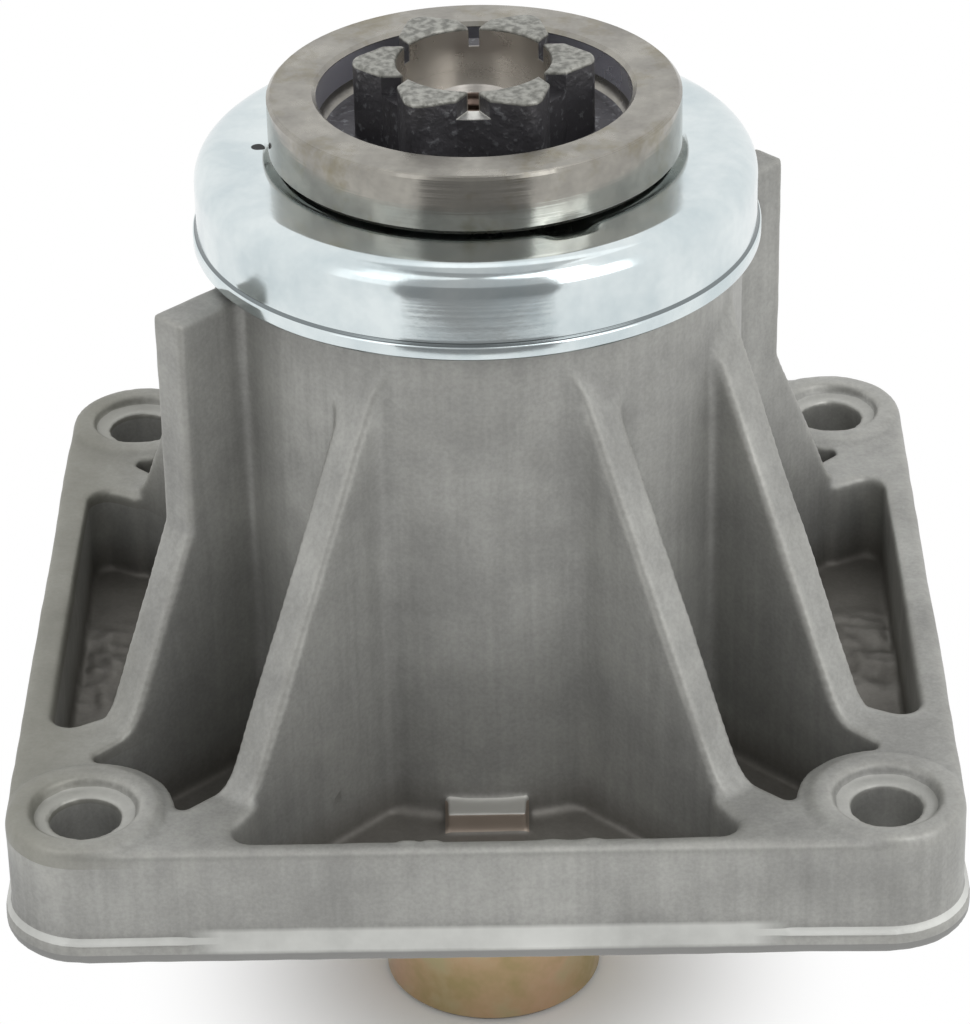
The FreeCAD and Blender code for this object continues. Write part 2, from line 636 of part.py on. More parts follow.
def build_shaft():
    """One forging, turned all over: a plain shaft, a collar, and a blade head with a crown of lobes."""
    body = body_of("spindle_shaft")
    shaft = f"({BORE} - seat_clearance)"
    tapped = "(tapped_hole / 2)"
    drill_tip = f"({tapped} / tan(drill_point / 2))"
    head = "(head_outside / 2)"
    recess = "(head_bore / 2)"
    revolve(body, "turned_form", [
        ("0", f"{SHAFT_END} + tapped_depth + {drill_tip}"),
        (tapped, f"{SHAFT_END} + tapped_depth"),
        (tapped, f"{SHAFT_END} + tapped_lead"),
        (f"{tapped} + tapped_lead", SHAFT_END),
        (f"{shaft} - tube_chamfer", SHAFT_END),
        (shaft, f"{SHAFT_END} + tube_chamfer"),
        (shaft, UPPER_FACE),
        (COLLAR, UPPER_FACE),
        (COLLAR, HEAD_UNDER),
        (f"{head} - head_under_edge", HEAD_UNDER),
        (head, f"{HEAD_UNDER} + head_under_edge"),
        (head, f"{HEAD_TOP} - head_edge"),
        (f"{head} - head_edge", HEAD_TOP),
        (f"{recess} + head_edge", HEAD_TOP),
        (recess, f"{HEAD_TOP} - head_edge"),
        (recess, f"{RECESS_FLOOR} + recess_round", "recess_round", -1),
        (f"{recess} - recess_round", RECESS_FLOOR),
        ("crown_hub / 2", RECESS_FLOOR),
        ("crown_hub / 2", SLOT_FLOOR),
        ("crown_bore / 2", SLOT_FLOOR),
        ("crown_bore / 2", CROWN_FLOOR),
        (f"{tapped} + tapped_lead", CROWN_FLOOR),
        (tapped, f"{CROWN_FLOOR} - tapped_lead"),
        (tapped, f"{CROWN_FLOOR} - tapped_depth"),
        ("0", f"{CROWN_FLOOR} - tapped_depth - {drill_tip}"),
    ])
    root = "(lobe_root_width / 2)"
    tip = "(lobe_tip_width / 2)"
    inner = f"sqrt((crown_bore / 2)^2 - {root}^2)"
    shoulder = f"sqrt((crown_hub / 2)^2 - {root}^2)"
    tip_start = f"crown_tip / 2 - lobe_tip_round + sqrt(lobe_tip_round^2 - {tip}^2)"
    lobe = new_sketch(body, "lobe_outline", "XY_Plane", RECESS_FLOOR)
    add_loop(lobe, [
        (inner, f"-{root}"),
        (shoulder, f"-{root}"),
        (tip_start, f"-{tip}", "lobe_tip_round", 1),
        (tip_start, tip),
        (shoulder, root),
        (inner, root, "crown_bore / 2", -1),
    ])
    lobe_pad = pad(body, lobe, "lobe", f"{LOBE_TOP} - {RECESS_FLOOR}")
    crown = around(body, "crown", [lobe_pad], "lobe_count")
    top = value(LOBE_TOP)
    body.Tip = fillet(body, "lobe_edges", crown, lambda edge: level(edge, top), "lobe_edge_round")
    return body


def build_dust_shield():
    """A deep drawn cup of sheet steel with a rolled bead, pressed on the collar."""
    body = body_of("dust_shield")
    hole = f"({COLLAR} + seat_clearance)"
    skirt = "(barrel_radius + shield_gap + shield_sheet)"
    bead = f"({skirt} + shield_neck_in)"
    revolve(body, "cup", [
        (hole, f"{HEAD_UNDER} - shield_sheet"),
        (f"{skirt} - shield_round", f"{HEAD_UNDER} - shield_sheet", "shield_round - shield_sheet", -1),
        (f"{skirt} - shield_sheet", f"{HEAD_UNDER} - shield_round"),
        (f"{skirt} - shield_sheet", SHIELD_RIM),
        (skirt, SHIELD_RIM),
        (bead, f"{SHIELD_RIM} + shield_neck_in"),
        (bead, f"{SHIELD_RIM} + shield_bead - shield_neck_in"),
        (skirt, f"{SHIELD_RIM} + shield_bead"),
        (skirt, f"{HEAD_UNDER} - shield_round", "shield_round", 1),
        (f"{skirt} - shield_round", HEAD_UNDER),
        (hole, HEAD_UNDER),
    ])
    return body


def build_tube(name, wall, low, high, chamfer):
    """A plain tube on the shaft with chamfered outer edges."""
    body = body_of(name)
    inside = f"({BORE} + seat_clearance)"
    outer = f"({BORE} + {wall})"
    revolve(body, f"{name}_form", [
        (inside, low),
        (f"{outer} - {chamfer}", low),
        (outer, f"{low} + {chamfer}"),
        (outer, f"{high} - {chamfer}"),
        (f"{outer} - {chamfer}", high),
        (inside, high),
    ])
    return body


# Bearings, each drawn about its own middle plane
HALF_WIDTH = "(bearing_width / 2)"
BALL = "(ball_diameter / 2)"
RACE = f"({BALL} + race_relief)"
PITCH = "((bearing_bore + bearing_outside) / 4)"
INNER_SHOULDER = f"({PITCH} - shoulder_offset)"
OUTER_SHOULDER = f"({PITCH} + shoulder_offset)"
SEAL_SEAT = f"({OUTER_SHOULDER} + seal_ledge)"
SEAT_FLOOR = f"({HALF_WIDTH} - seal_seat_depth)"
RIVET_X = f"{PITCH} * cos(180 / ball_count)"
RIVET_Y = f"{PITCH} * sin(180 / ball_count)"


def build_outer_ring(name):
    body = body_of(name)
    outer = "(bearing_outside / 2)"
    race_centre = f"({PITCH} + {BALL} + ball_clearance - {RACE})"
    race_half = f"sqrt({RACE}^2 - ({OUTER_SHOULDER} - {race_centre})^2)"
    revolve(body, f"{name}_form", [
        (SEAL_SEAT, f"-{HALF_WIDTH}"),
        (f"{outer} - ring_chamfer", f"-{HALF_WIDTH}"),
        (outer, f"-{HALF_WIDTH} + ring_chamfer"),
        (outer, f"{HALF_WIDTH} - ring_chamfer"),
        (f"{outer} - ring_chamfer", HALF_WIDTH),
        (SEAL_SEAT, HALF_WIDTH),
        (SEAL_SEAT, SEAT_FLOOR),
        (OUTER_SHOULDER, SEAT_FLOOR),
        (OUTER_SHOULDER, race_half, RACE, -1),
        (OUTER_SHOULDER, f"-{race_half}"),
        (OUTER_SHOULDER, f"-{SEAT_FLOOR}"),
        (SEAL_SEAT, f"-{SEAT_FLOOR}"),
    ])
    return body


def build_inner_ring(name):
    body = body_of(name)
    race_centre = f"({PITCH} - {BALL} - ball_clearance + {RACE})"
    race_half = f"sqrt({RACE}^2 - ({race_centre} - {INNER_SHOULDER})^2)"
    revolve(body, f"{name}_form", [
        (f"{BORE} + ring_chamfer / 2", f"-{HALF_WIDTH}"),
        (INNER_SHOULDER, f"-{HALF_WIDTH}"),
        (INNER_SHOULDER, f"-{race_half}", RACE, -1),
        (INNER_SHOULDER, race_half),
        (INNER_SHOULDER, HALF_WIDTH),
        (f"{BORE} + ring_chamfer / 2", HALF_WIDTH),
        (BORE, f"{HALF_WIDTH} - ring_chamfer / 2"),
        (BORE, f"-{HALF_WIDTH} + ring_chamfer / 2"),
    ])
    return body


def build_seal(name):
    """A rubber covered washer: a rim pressed in the outer ring's seat, a thin web and a lip."""
    body = body_of(name)
    rim = f"({SEAL_SEAT} - seat_clearance)"
    lip = f"({INNER_SHOULDER} + lip_clearance)"
    high = f"({SEAT_FLOOR} + seal_thickness)"
    web = f"({high} - seal_web)"
    revolve(body, f"{name}_form", [
        (lip, web),
        (f"{rim} - seal_thickness", web),
        (f"{rim} - seal_thickness", SEAT_FLOOR),
        (rim, SEAT_FLOOR),
        (rim, high),
        (f"{lip} + seal_web / 2", high),
        (lip, f"{high} - seal_web / 2"),
    ])
    return body


def build_balls(name):
    body = body_of(name)
    ball = body.newObject("PartDesign::AdditiveSphere", f"{name}_first")
    ball.AttachmentSupport = [(origin_feature(body, "XY_Plane"), "")]
    ball.MapMode = "FlatFace"
    ball.setExpression("AttachmentOffset.Base.x", bound(PITCH))
    ball.setExpression("Radius", bound(BALL))
    around(body, f"{name}_all", [ball], "ball_count")
    return body


def build_cage_half(name):
    """Half of a pressed cage: a flat ring with a cup over each ball and a rivet hole between cups."""
    body = body_of(name)
    cup = f"({BALL} + pocket_clearance + cage_sheet)"
    inside = f"({PITCH} - cage_width / 2)"
    outside = f"({PITCH} + cage_width / 2)"
    strip = new_sketch(body, f"{name}_strip_outline", "XY_Plane")
    add_circle(strip, "0", "0", inside)
    add_circle(strip, "0", "0", outside)
    pad(body, strip, f"{name}_strip", "cage_sheet")
    dome = body.newObject("PartDesign::AdditiveSphere", f"{name}_dome")
    dome.AttachmentSupport = [(origin_feature(body, "XY_Plane"), "")]
    dome.MapMode = "FlatFace"
    dome.setExpression("AttachmentOffset.Base.x", bound(PITCH))
    dome.setExpression("Radius", bound(cup))
    around(body, f"{name}_domes", [dome], "ball_count")
    hollow = body.newObject("PartDesign::SubtractiveSphere", f"{name}_hollow")
    hollow.AttachmentSupport = [(origin_feature(body, "XY_Plane"), "")]
    hollow.MapMode = "FlatFace"
    hollow.setExpression("AttachmentOffset.Base.x", bound(PITCH))
    hollow.setExpression("Radius", bound(f"{BALL} + pocket_clearance"))
    around(body, f"{name}_hollows", [hollow], "ball_count")
    trim = new_sketch(body, f"{name}_trim_outline", "XY_Plane", cup)
    add_circle(trim, "0", "0", inside)
    add_circle(trim, "0", "0", outside)
    add_circle(trim, "0", "0", f"{outside} + {cup}")
    pocket(body, trim, f"{name}_trim", f"2 * {cup}")
    below = new_sketch(body, f"{name}_below_outline", "XY_Plane")
    add_circle(below, "0", "0", f"{outside} + cage_sheet")
    pocket(body, below, f"{name}_below", cup)
    hole = new_sketch(body, f"{name}_hole_outline", "XY_Plane", "cage_sheet")
    add_circle(hole, RIVET_X, RIVET_Y, "rivet_diameter / 2 + seat_clearance")
    first_hole = pocket(body, hole, f"{name}_hole", "cage_sheet")
    around(body, f"{name}_holes", [first_hole], "ball_count")
    return body


def build_rivets(name):
    """Short rivets between the balls, with a head on each side of the cage."""
    body = body_of(name)
    shank = new_sketch(body, f"{name}_shank_outline", "XY_Plane")
    add_circle(shank, RIVET_X, RIVET_Y, "rivet_diameter / 2")
    stages = [pad(body, shank, f"{name}_shank", "2 * cage_sheet", both_ways=True)]
    for word, low in (("upper", "cage_sheet"), ("lower", "-(cage_sheet + rivet_head_height)")):
        head = new_sketch(body, f"{name}_{word}_outline", "XY_Plane", low)
        add_circle(head, RIVET_X, RIVET_Y, "rivet_head / 2")
        stages.append(pad(body, head, f"{name}_{word}", "rivet_head_height"))
    around(body, f"{name}_all", stages, "ball_count")
    return body


def build_bearing(name, middle):
    """A sealed deep groove bearing with its middle plane at the given level."""
    pieces = [
        (build_outer_ring(f"{name}_outer_ring"), False),
        (build_inner_ring(f"{name}_inner_ring"), False),
        (build_balls(f"{name}_balls"), False),
        (build_cage_half(f"{name}_cage_upper"), False),
        (build_cage_half(f"{name}_cage_lower"), True),
        (build_rivets(f"{name}_cage_rivets"), False),
        (build_seal(f"{name}_seal_upper"), False),
        (build_seal(f"{name}_seal_lower"), True),
    ]
    for body, upside_down in pieces:
        turn = FreeCAD.Rotation(FreeCAD.Vector(1, 0, 0), 180 if upside_down else 0)
        body.Placement = FreeCAD.Placement(FreeCAD.Vector(), turn)
        body.setExpression("Placement.Base.z", bound(middle))
    return [body for body, upside_down in pieces]


sub_parts = [
    build_housing(),
    build_shaft(),
    build_dust_shield(),
    build_tube("bearing_spacer", "spacer_wall", LOWER_SHOULDER, UPPER_SHOULDER, "tube_chamfer"),
    build_tube("pulley_sleeve", "sleeve_wall", SLEEVE_END, "lower_recess", "sleeve_chamfer"),
    *build_bearing("blade_bearing", UPPER_BEARING),
    *build_bearing("pulley_bearing", LOWER_BEARING),
]
doc.recompute()

for item in doc.Objects:
    if "Invalid" in item.State or "Error" in item.State:
        raise RuntimeError(f"{item.Label} did not build: {item.State}")
for item in sub_parts:
    if item.Shape.isNull() or not item.Shape.isValid():
        raise RuntimeError(f"{item.Label} has no valid shape")

os.makedirs("parts", exist_ok=True)
for item in sub_parts:
    item.Shape.exportStep(f"parts/{item.Label}.step")
    print(f"{item.Label}: {len(item.Shape.Solids)} solids, {item.Shape.Volume:.1f} mm3")
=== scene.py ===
# %% [markdown]
# # A mower deck spindle
# The spindle carries a mower's blade under the deck. A ribbed aluminium casting bolts to the deck by its
# square flange, a steel shaft turns in it on two sealed bearings, and a bright zinc plated cup keeps the
# cuttings out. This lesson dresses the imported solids: it makes the camera and the light, finishes the
# casting and the cup as denser surfaces, cuts the threads, and gives every piece its own finish.

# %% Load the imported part
import json
import math

import bmesh
import bpy
import numpy as np
from mathutils import Matrix, Vector


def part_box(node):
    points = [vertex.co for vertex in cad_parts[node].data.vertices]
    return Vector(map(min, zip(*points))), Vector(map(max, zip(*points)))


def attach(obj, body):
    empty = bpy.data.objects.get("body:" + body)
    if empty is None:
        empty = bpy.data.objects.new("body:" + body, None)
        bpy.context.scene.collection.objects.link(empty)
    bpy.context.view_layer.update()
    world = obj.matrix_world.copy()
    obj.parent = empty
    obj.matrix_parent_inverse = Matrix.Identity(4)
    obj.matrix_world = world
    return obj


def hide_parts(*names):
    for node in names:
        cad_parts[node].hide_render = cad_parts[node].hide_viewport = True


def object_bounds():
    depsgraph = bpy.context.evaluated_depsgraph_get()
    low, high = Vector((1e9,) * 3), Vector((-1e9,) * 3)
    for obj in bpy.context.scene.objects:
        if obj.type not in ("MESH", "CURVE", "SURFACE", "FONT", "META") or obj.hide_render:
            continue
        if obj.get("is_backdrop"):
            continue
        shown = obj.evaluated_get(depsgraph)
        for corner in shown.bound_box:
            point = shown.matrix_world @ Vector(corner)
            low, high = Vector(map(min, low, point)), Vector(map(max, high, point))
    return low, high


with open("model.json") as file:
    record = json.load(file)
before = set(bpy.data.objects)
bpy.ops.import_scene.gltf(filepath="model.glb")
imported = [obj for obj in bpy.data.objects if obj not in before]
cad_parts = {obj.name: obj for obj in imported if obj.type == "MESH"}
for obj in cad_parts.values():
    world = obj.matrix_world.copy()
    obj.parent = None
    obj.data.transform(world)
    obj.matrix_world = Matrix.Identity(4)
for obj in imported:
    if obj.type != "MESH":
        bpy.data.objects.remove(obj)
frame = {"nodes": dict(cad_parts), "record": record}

MM = 0.001
solid_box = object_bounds()
nodes = frame["nodes"]
mounts = {mount["name"]: mount for mount in frame["record"]["mounts"]}
print("nodes:", len(nodes), "box in mm:", [[round(v / MM, 1) for v in corner] for corner in solid_box])

# %% [markdown]
# ## Camera
# The photograph looks down on the blade end by about thirty degrees, nearly square to one side of the
# flange. Its distance and lens were worked out from the four deck holes and the round edges, so the same
# perspective comes out here. A camera is a frame of three directions: right, up, and back towards the eye.

# %% Camera
CAMERA_DISTANCE = 565.1 * MM
CAMERA_ELEVATION = math.radians(30.26)
CAMERA_AZIMUTH = math.radians(0.68)
CAMERA_ROLL = math.radians(-1.29)
# The lens is in millimetres, for the usual sensor of 36 mm
CAMERA_LENS = 149.05
NEAREST_SEEN = 10 * MM
AIM_RIGHT = 0.18 * MM
AIM_HEIGHT = 29.0 * MM

flat = math.cos(CAMERA_ELEVATION)
back = Vector((math.sin(CAMERA_AZIMUTH) * flat, -math.cos(CAMERA_AZIMUTH) * flat,
               math.sin(CAMERA_ELEVATION)))
level_right = Vector((math.cos(CAMERA_AZIMUTH), math.sin(CAMERA_AZIMUTH), 0))
level_up = back.cross(level_right)
right = level_right * math.cos(CAMERA_ROLL) + level_up * math.sin(CAMERA_ROLL)
up = back.cross(right)
eye = Vector((0, 0, AIM_HEIGHT)) + level_right * AIM_RIGHT + back * CAMERA_DISTANCE

camera_data = bpy.data.cameras.new("camera")
camera_data.lens = CAMERA_LENS
camera_data.clip_start = NEAREST_SEEN
camera = bpy.data.objects.new("camera", camera_data)
camera.matrix_world = Matrix.Translation(eye) @ Matrix((right, up, back)).transposed().to_4x4()
bpy.context.scene.collection.objects.link(camera)
bpy.context.scene.camera = camera
print("camera in mm:", [round(v / MM, 1) for v in eye])

# %% [markdown]
# ## Helpers for finishes
# Every finish below is a small tree of shader nodes. One function adds a node, sets it and links it, and
# another turns a colour as a designer writes it, an sRGB hex value, into the linear numbers that light is
# computed in. A pattern's scale is given by a real size: so many millimetres from one grain to the next.

# %% Helpers for finishes
def linear(hex_colour):
    """sRGB hex to linear: a straight piece near black, and a power of 2.4 above it."""
    srgb = np.array([int(hex_colour[i:i + 2], 16) for i in (1, 3, 5)]) / 255
    return (*np.where(srgb <= 0.04045, srgb / 12.92, ((srgb + 0.055) / 1.055) ** 2.4), 1.0)


def per_mm(size):
    """The scale of a pattern whose grains lie this many millimetres apart."""
    return 1 / (size * MM)


def add(tree, kind, inputs, out=0, **settings):
    """Adds a node and gives one of its outputs. Settings are its properties, and inputs give each
    socket a value or a link."""
    made = tree.nodes.new("ShaderNode" + kind)
    for name, value in settings.items():
        setattr(made, name, value)
    for socket, value in inputs.items():
        if isinstance(value, bpy.types.NodeSocket):
            tree.links.new(value, made.inputs[socket])
        else:
            made.inputs[socket].default_value = value
    return made.outputs[out]


# A Mix node keeps its colours in sockets 6 and 7, and gives the mixed colour from its third output
MIX_A, MIX_B, MIXED = 6, 7, 2
COLOUR = {"data_type": "RGBA", "out": MIXED}


def start_finish(name):
    """A new material, its tree and shader, and the place on the piece in metres."""
    material = bpy.data.materials.new(name)
    material.use_nodes = True
    tree = material.node_tree
    place = add(tree, "TexCoord", {}, out="Object")
    return material, tree, tree.nodes["Principled BSDF"], place


def ring_coordinates(tree, place):
    """Distance from the axis, height, and their sum: lines of equal sum are rings on a turned piece."""
    across = add(tree, "VectorMath", {0: place, 1: (1, 1, 0)}, operation="MULTIPLY")
    radius = add(tree, "VectorMath", {0: across}, out="Value", operation="LENGTH")
    height = add(tree, "SeparateXYZ", {0: place}, out="Z")
    return radius, height, add(tree, "Math", {0: radius, 1: height})


def seen_share(tree):
    """1 where a ray comes from the camera, a reflection or glass, and 0 where it only carries light."""
    rays = add(tree, "LightPath", {}).node.outputs
    seen = rays["Is Camera Ray"]
    for kind in ("Is Glossy Ray", "Is Transmission Ray"):
        seen = add(tree, "Math", {0: seen, 1: rays[kind]}, operation="MAXIMUM")
    return seen


print("helpers ready")

# %% [markdown]
# ## Lamps
# A plain studio has large soft lamps in front, low and high on either side, and a weak one overhead. One
# hard lamp would be quicker to set up, but it would burn spots into the zinc. The lamps on the right are
# the stronger ones, as they seem to be in the photograph.

# %% Lamps
# Name, place and size in metres, and power in watts
LAMPS = (
    ("left_lamp", (-0.62, -0.72, 0.55), 0.6, 0.4),
    ("right_lamp", (0.70, -0.68, 0.50), 0.6, 1.6),
    ("high_left_lamp", (-0.42, -0.66, 0.85), 0.6, 0.7),
    ("high_right_lamp", (0.42, -0.66, 0.85), 0.6, 1.8),
    ("top_lamp", (0.05, 0.10, 1.00), 0.7, 0.4),
)


def soft_lamp(name, place, size, power):
    """A square area lamp that looks at the middle of the part."""
    data = bpy.data.lights.new(name, "AREA")
    data.size = size
    data.energy = power
    lamp = bpy.data.objects.new(name, data)
    lamp.location = place
    lamp.rotation_euler = (Vector((0, 0, AIM_HEIGHT)) - Vector(place)).to_track_quat("-Z", "Y").to_euler()
    bpy.context.scene.collection.objects.link(lamp)


for lamp_row in LAMPS:
    soft_lamp(*lamp_row)
print("lamps:", ", ".join(lamp_row[0] for lamp_row in LAMPS))

# %% [markdown]
# ## White room
# The room is white all round. Seen directly or in a reflection it is pure white, but it lights the part a
# little less than that, so that the lamps still show the form.

# %% White room
AMBIENT = 0.85

world = bpy.data.worlds.new("white_room")
bpy.context.scene.world = world
world.use_nodes = True
tree = world.node_tree
strength = add(tree, "MapRange", {"Value": seen_share(tree), "To Min": AMBIENT, "To Max": 1.0})
tree.links.new(strength, tree.nodes["Background"].inputs["Strength"])
tree.nodes["Background"].inputs["Color"].default_value = (1, 1, 1, 1)
print("white room, ambient light:", AMBIENT)

# %% [markdown]
# ## Floor
# The part stands on a pale painted floor that keeps its soft shadow. Further out the paint gives way to a
# plain white glow, because a product picture has no horizon. A floor without the glow would turn grey at
# the picture's edges.

# %% Floor
FLOOR_LEVEL = solid_box[0].z
FLOOR_REACH = 3.0
FLOOR_COLOUR = "#f4f4f3"
SHADOW_START, SHADOW_END = 14 * MM, 52 * MM


def stage_sheet(name, corners, material):
    """A flat four sided sheet that isn't part of the object."""
    mesh = bpy.data.meshes.new(name)
    mesh.from_pydata(corners, [], [(0, 1, 2, 3)])
    sheet = bpy.data.objects.new(name, mesh)
    mesh.materials.append(material)
    bpy.context.scene.collection.objects.link(sheet)
    sheet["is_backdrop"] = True
    return sheet


def pale_floor():
    """Matt pale paint that fades to a white glow with distance from the axis."""
    material, tree, shader, place = start_finish("pale_floor")
    shader.inputs["Base Color"].default_value = linear(FLOOR_COLOUR)
    shader.inputs["Roughness"].default_value = 0.9
    shader.inputs["Specular IOR Level"].default_value = 0.0
    radius = ring_coordinates(tree, place)[0]
    away = add(tree, "MapRange", {"Value": radius, "From Min": SHADOW_START, "From Max": SHADOW_END},
               interpolation_type="SMOOTHSTEP")
    white_share = add(tree, "Math", {0: away, 1: seen_share(tree)}, operation="MULTIPLY")
    white = add(tree, "Emission", {"Color": (1, 1, 1, 1), "Strength": 1.0})
    mixed = add(tree, "MixShader", {0: white_share, 1: shader.outputs[0], 2: white})
    tree.links.new(mixed, tree.nodes["Material Output"].inputs["Surface"])
    return material


square = ((-1, -1), (1, -1), (1, 1), (-1, 1))
floor_corners = [(x * FLOOR_REACH, y * FLOOR_REACH, FLOOR_LEVEL) for x, y in square]
stage_sheet("floor", floor_corners, pale_floor())
print("floor at", round(FLOOR_LEVEL / MM, 1), "mm")

# %% [markdown]
# ## Cards
# Bright metal shows only what stands round it, and in an all white room it would look flat, so grey cards
# stand in front, where the photographer and the camera were. They are one folded sheet that runs along the
# floor, up and back overhead. They show in reflections and nowhere else.

# %% Cards
CARD_LIFT = FLOOR_LEVEL + 1 * MM
CARD_HALF, CARD_FRONT = 425 * MM, -700 * MM
CARD_BREAK, CARD_TOP = 330 * MM, 1300 * MM
# Each fold's half width, place in Y and height
FOLDS = (
    (131 * MM, -245 * MM, CARD_LIFT),
    (CARD_HALF, CARD_FRONT, CARD_LIFT),
    (CARD_HALF, CARD_FRONT, CARD_BREAK),
    (CARD_HALF, CARD_FRONT, CARD_TOP),
    (CARD_HALF, 250 * MM, CARD_TOP),
)
# Each card lies between one fold and the next, and has its own brightness
CARDS = (("floor_card", 0.28), ("front_card", 0.28), ("high_card", 0.5), ("roof_card", 0.36))


def grey_card(name, level, start, end):
    """A card of one even brightness between two folds, which shows only in reflections."""
    material, tree = start_finish(name + "_grey")[:2]
    glow = add(tree, "Emission", {"Color": (level, level, level, 1), "Strength": 1.0})
    tree.links.new(glow, tree.nodes["Material Output"].inputs["Surface"])
    (start_half, start_y, start_z), (end_half, end_y, end_z) = start, end
    corners = [(-start_half, start_y, start_z), (start_half, start_y, start_z),
               (end_half, end_y, end_z), (-end_half, end_y, end_z)]
    card = stage_sheet(name, corners, material)
    card.visible_camera = False
    card.visible_diffuse = False
    card.visible_shadow = False


for (name, level), start, end in zip(CARDS, FOLDS, FOLDS[1:]):
    grey_card(name, level, start, end)
print("cards:", ", ".join(name for name, level in CARDS))

# %% [markdown]
# ## Mesh helpers
# A surface here is an array of points on a grid: rows run along one parameter and columns along the other.
# Whole arrays are worked out at once, and the faces between neighbouring points follow from their numbers.

# %% Mesh helpers
def put_piece(name, mesh, body, material):
    """Puts a finished mesh into the scene, on its body and with its finish."""
    piece = bpy.data.objects.new(name, mesh)
    mesh.materials.clear()
    mesh.materials.append(material)
    mesh.shade_smooth()
    bpy.context.scene.collection.objects.link(piece)
    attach(piece, body)
    return piece


def closed_grid(name, points):
    """A mesh from points[row, column] that closes on itself both ways, as a ring does."""
    rows, columns = points.shape[:2]
    number = np.arange(rows * columns).reshape(rows, columns)
    below = np.roll(number, -1, axis=0)
    faces = np.stack([number, np.roll(number, -1, axis=1), np.roll(below, -1, axis=1), below], axis=-1)
    mesh = bpy.data.meshes.new(name)
    mesh.from_pydata(points.reshape(-1, 3), [], faces.reshape(-1, 4))
    mesh.validate()
    return mesh


def arrays_of(mesh):
    """The points, normals and edges of a mesh as arrays."""
    points = np.empty(len(mesh.vertices) * 3, np.float32)
    normals = np.empty(len(mesh.vertices) * 3, np.float32)
    edges = np.empty(len(mesh.edges) * 2, np.int32)
    mesh.vertices.foreach_get("co", points)
    mesh.vertex_normals.foreach_get("vector", normals)
    mesh.edges.foreach_get("vertices", edges)
    return points.reshape(-1, 3).astype(float), normals.reshape(-1, 3).astype(float), edges.reshape(-1, 2)


def neighbour_mean(values, edges):
    """For each point, the mean of a value over the points that share an edge with it."""
    count = len(values)
    ends = np.concatenate([edges[:, 0], edges[:, 1]])
    others = np.concatenate([edges[:, 1], edges[:, 0]])
    degree = np.maximum(np.bincount(ends, minlength=count), 1)
    columns = values.reshape(count, -1)
    sums = [np.bincount(ends, weights=columns[others, k], minlength=count) for k in range(columns.shape[1])]
    return (np.stack(sums, axis=1) / degree[:, None]).reshape(values.shape)


def waves(points, size, count, seed):
    """A smooth random field of about unit height: sine waves of about one size in random directions."""
    random = np.random.default_rng(seed)
    direction = random.normal(size=(count, 3))
    direction /= np.linalg.norm(direction, axis=1, keepdims=True)
    turns = 2 * np.pi / (size * random.uniform(0.7, 1.5, count))
    phase = random.uniform(0, 2 * np.pi, count)
    return np.sin(points @ (direction * turns[:, None]).T + phase).sum(axis=1) * math.sqrt(2 / count)


def smooth_step(value, low, high):
    """0 below low, 1 above high, and a smooth rise between."""
    share = np.clip((value - low) / (high - low), 0, 1)
    return share * share * (3 - 2 * share)


def close_to(value, middle, full, end):
    """1 up to a distance of full from the middle, 0 beyond end, and a smooth fall between."""
    return smooth_step(-np.abs(value - middle), -end, -full)


print("mesh helpers ready")

# %% [markdown]
# ## The casting
# A die casting has no sharp edge: molten aluminium rounds every corner, leaves a faint waviness on the flat
# faces, rough cold lumps on the floors of the side pockets, and small burrs where the die halves met. A
# bevel on every edge of the solid could do the rounding, but it breaks down where many edges meet. So the
# solid's mesh is copied, its loose triangles are merged, and it is remade of even small faces. Averaging
# each point with its neighbours then rounds all the edges alike, and fields of waves move the skin by
# hundredths of a millimetre. The machined bearing seats inside are left alone.

# %% Casting skin
FLANGE_TOP = 16 * MM
RIM_INSIDE = 57.3 * MM
POCKET_FLOOR = 3 * MM
SKIN_WAVE, SKIN_HEIGHT = 5 * MM, 0.018 * MM
SLOW_WAVE, SLOW_HEIGHT = 26 * MM, 0.05 * MM
# Lumps lie out to both sides, along a stretch in Y, on what is low in the pocket
LUMP_START, LUMP_FULL = 45 * MM, 50 * MM
LUMP_MIDDLE, LUMP_STRETCH, LUMP_END = 4 * MM, 8 * MM, 13 * MM
LUMP_BOTTOM, LUMP_LOW, LUMP_TOP = POCKET_FLOOR - 1 * MM, 4 * MM, 6 * MM
LUMP_WAVE, LUMP_RIPPLE, LUMP_HEIGHT = 6 * MM, 3 * MM, 0.5 * MM
# Burrs stand on the top of the front rim, along its inner edge
BURR_BELOW, BURR_FULL = 1.2 * MM, 0.3 * MM
BURR_EDGE, BURR_EDGE_FULL, BURR_EDGE_END = -RIM_INSIDE - 0.3 * MM, 0.2 * MM, 0.9 * MM
BURR_WAVE, BURR_RIPPLE, BURR_HEIGHT = 3.2 * MM, 1.4 * MM, 0.2 * MM
# Each burr's middle in X, how far from it the burr is whole, and how far from it the burr ends
BURRS = ((10.5 * MM, 3 * MM, 4.5 * MM), (-8 * MM, 2 * MM, 3.5 * MM))


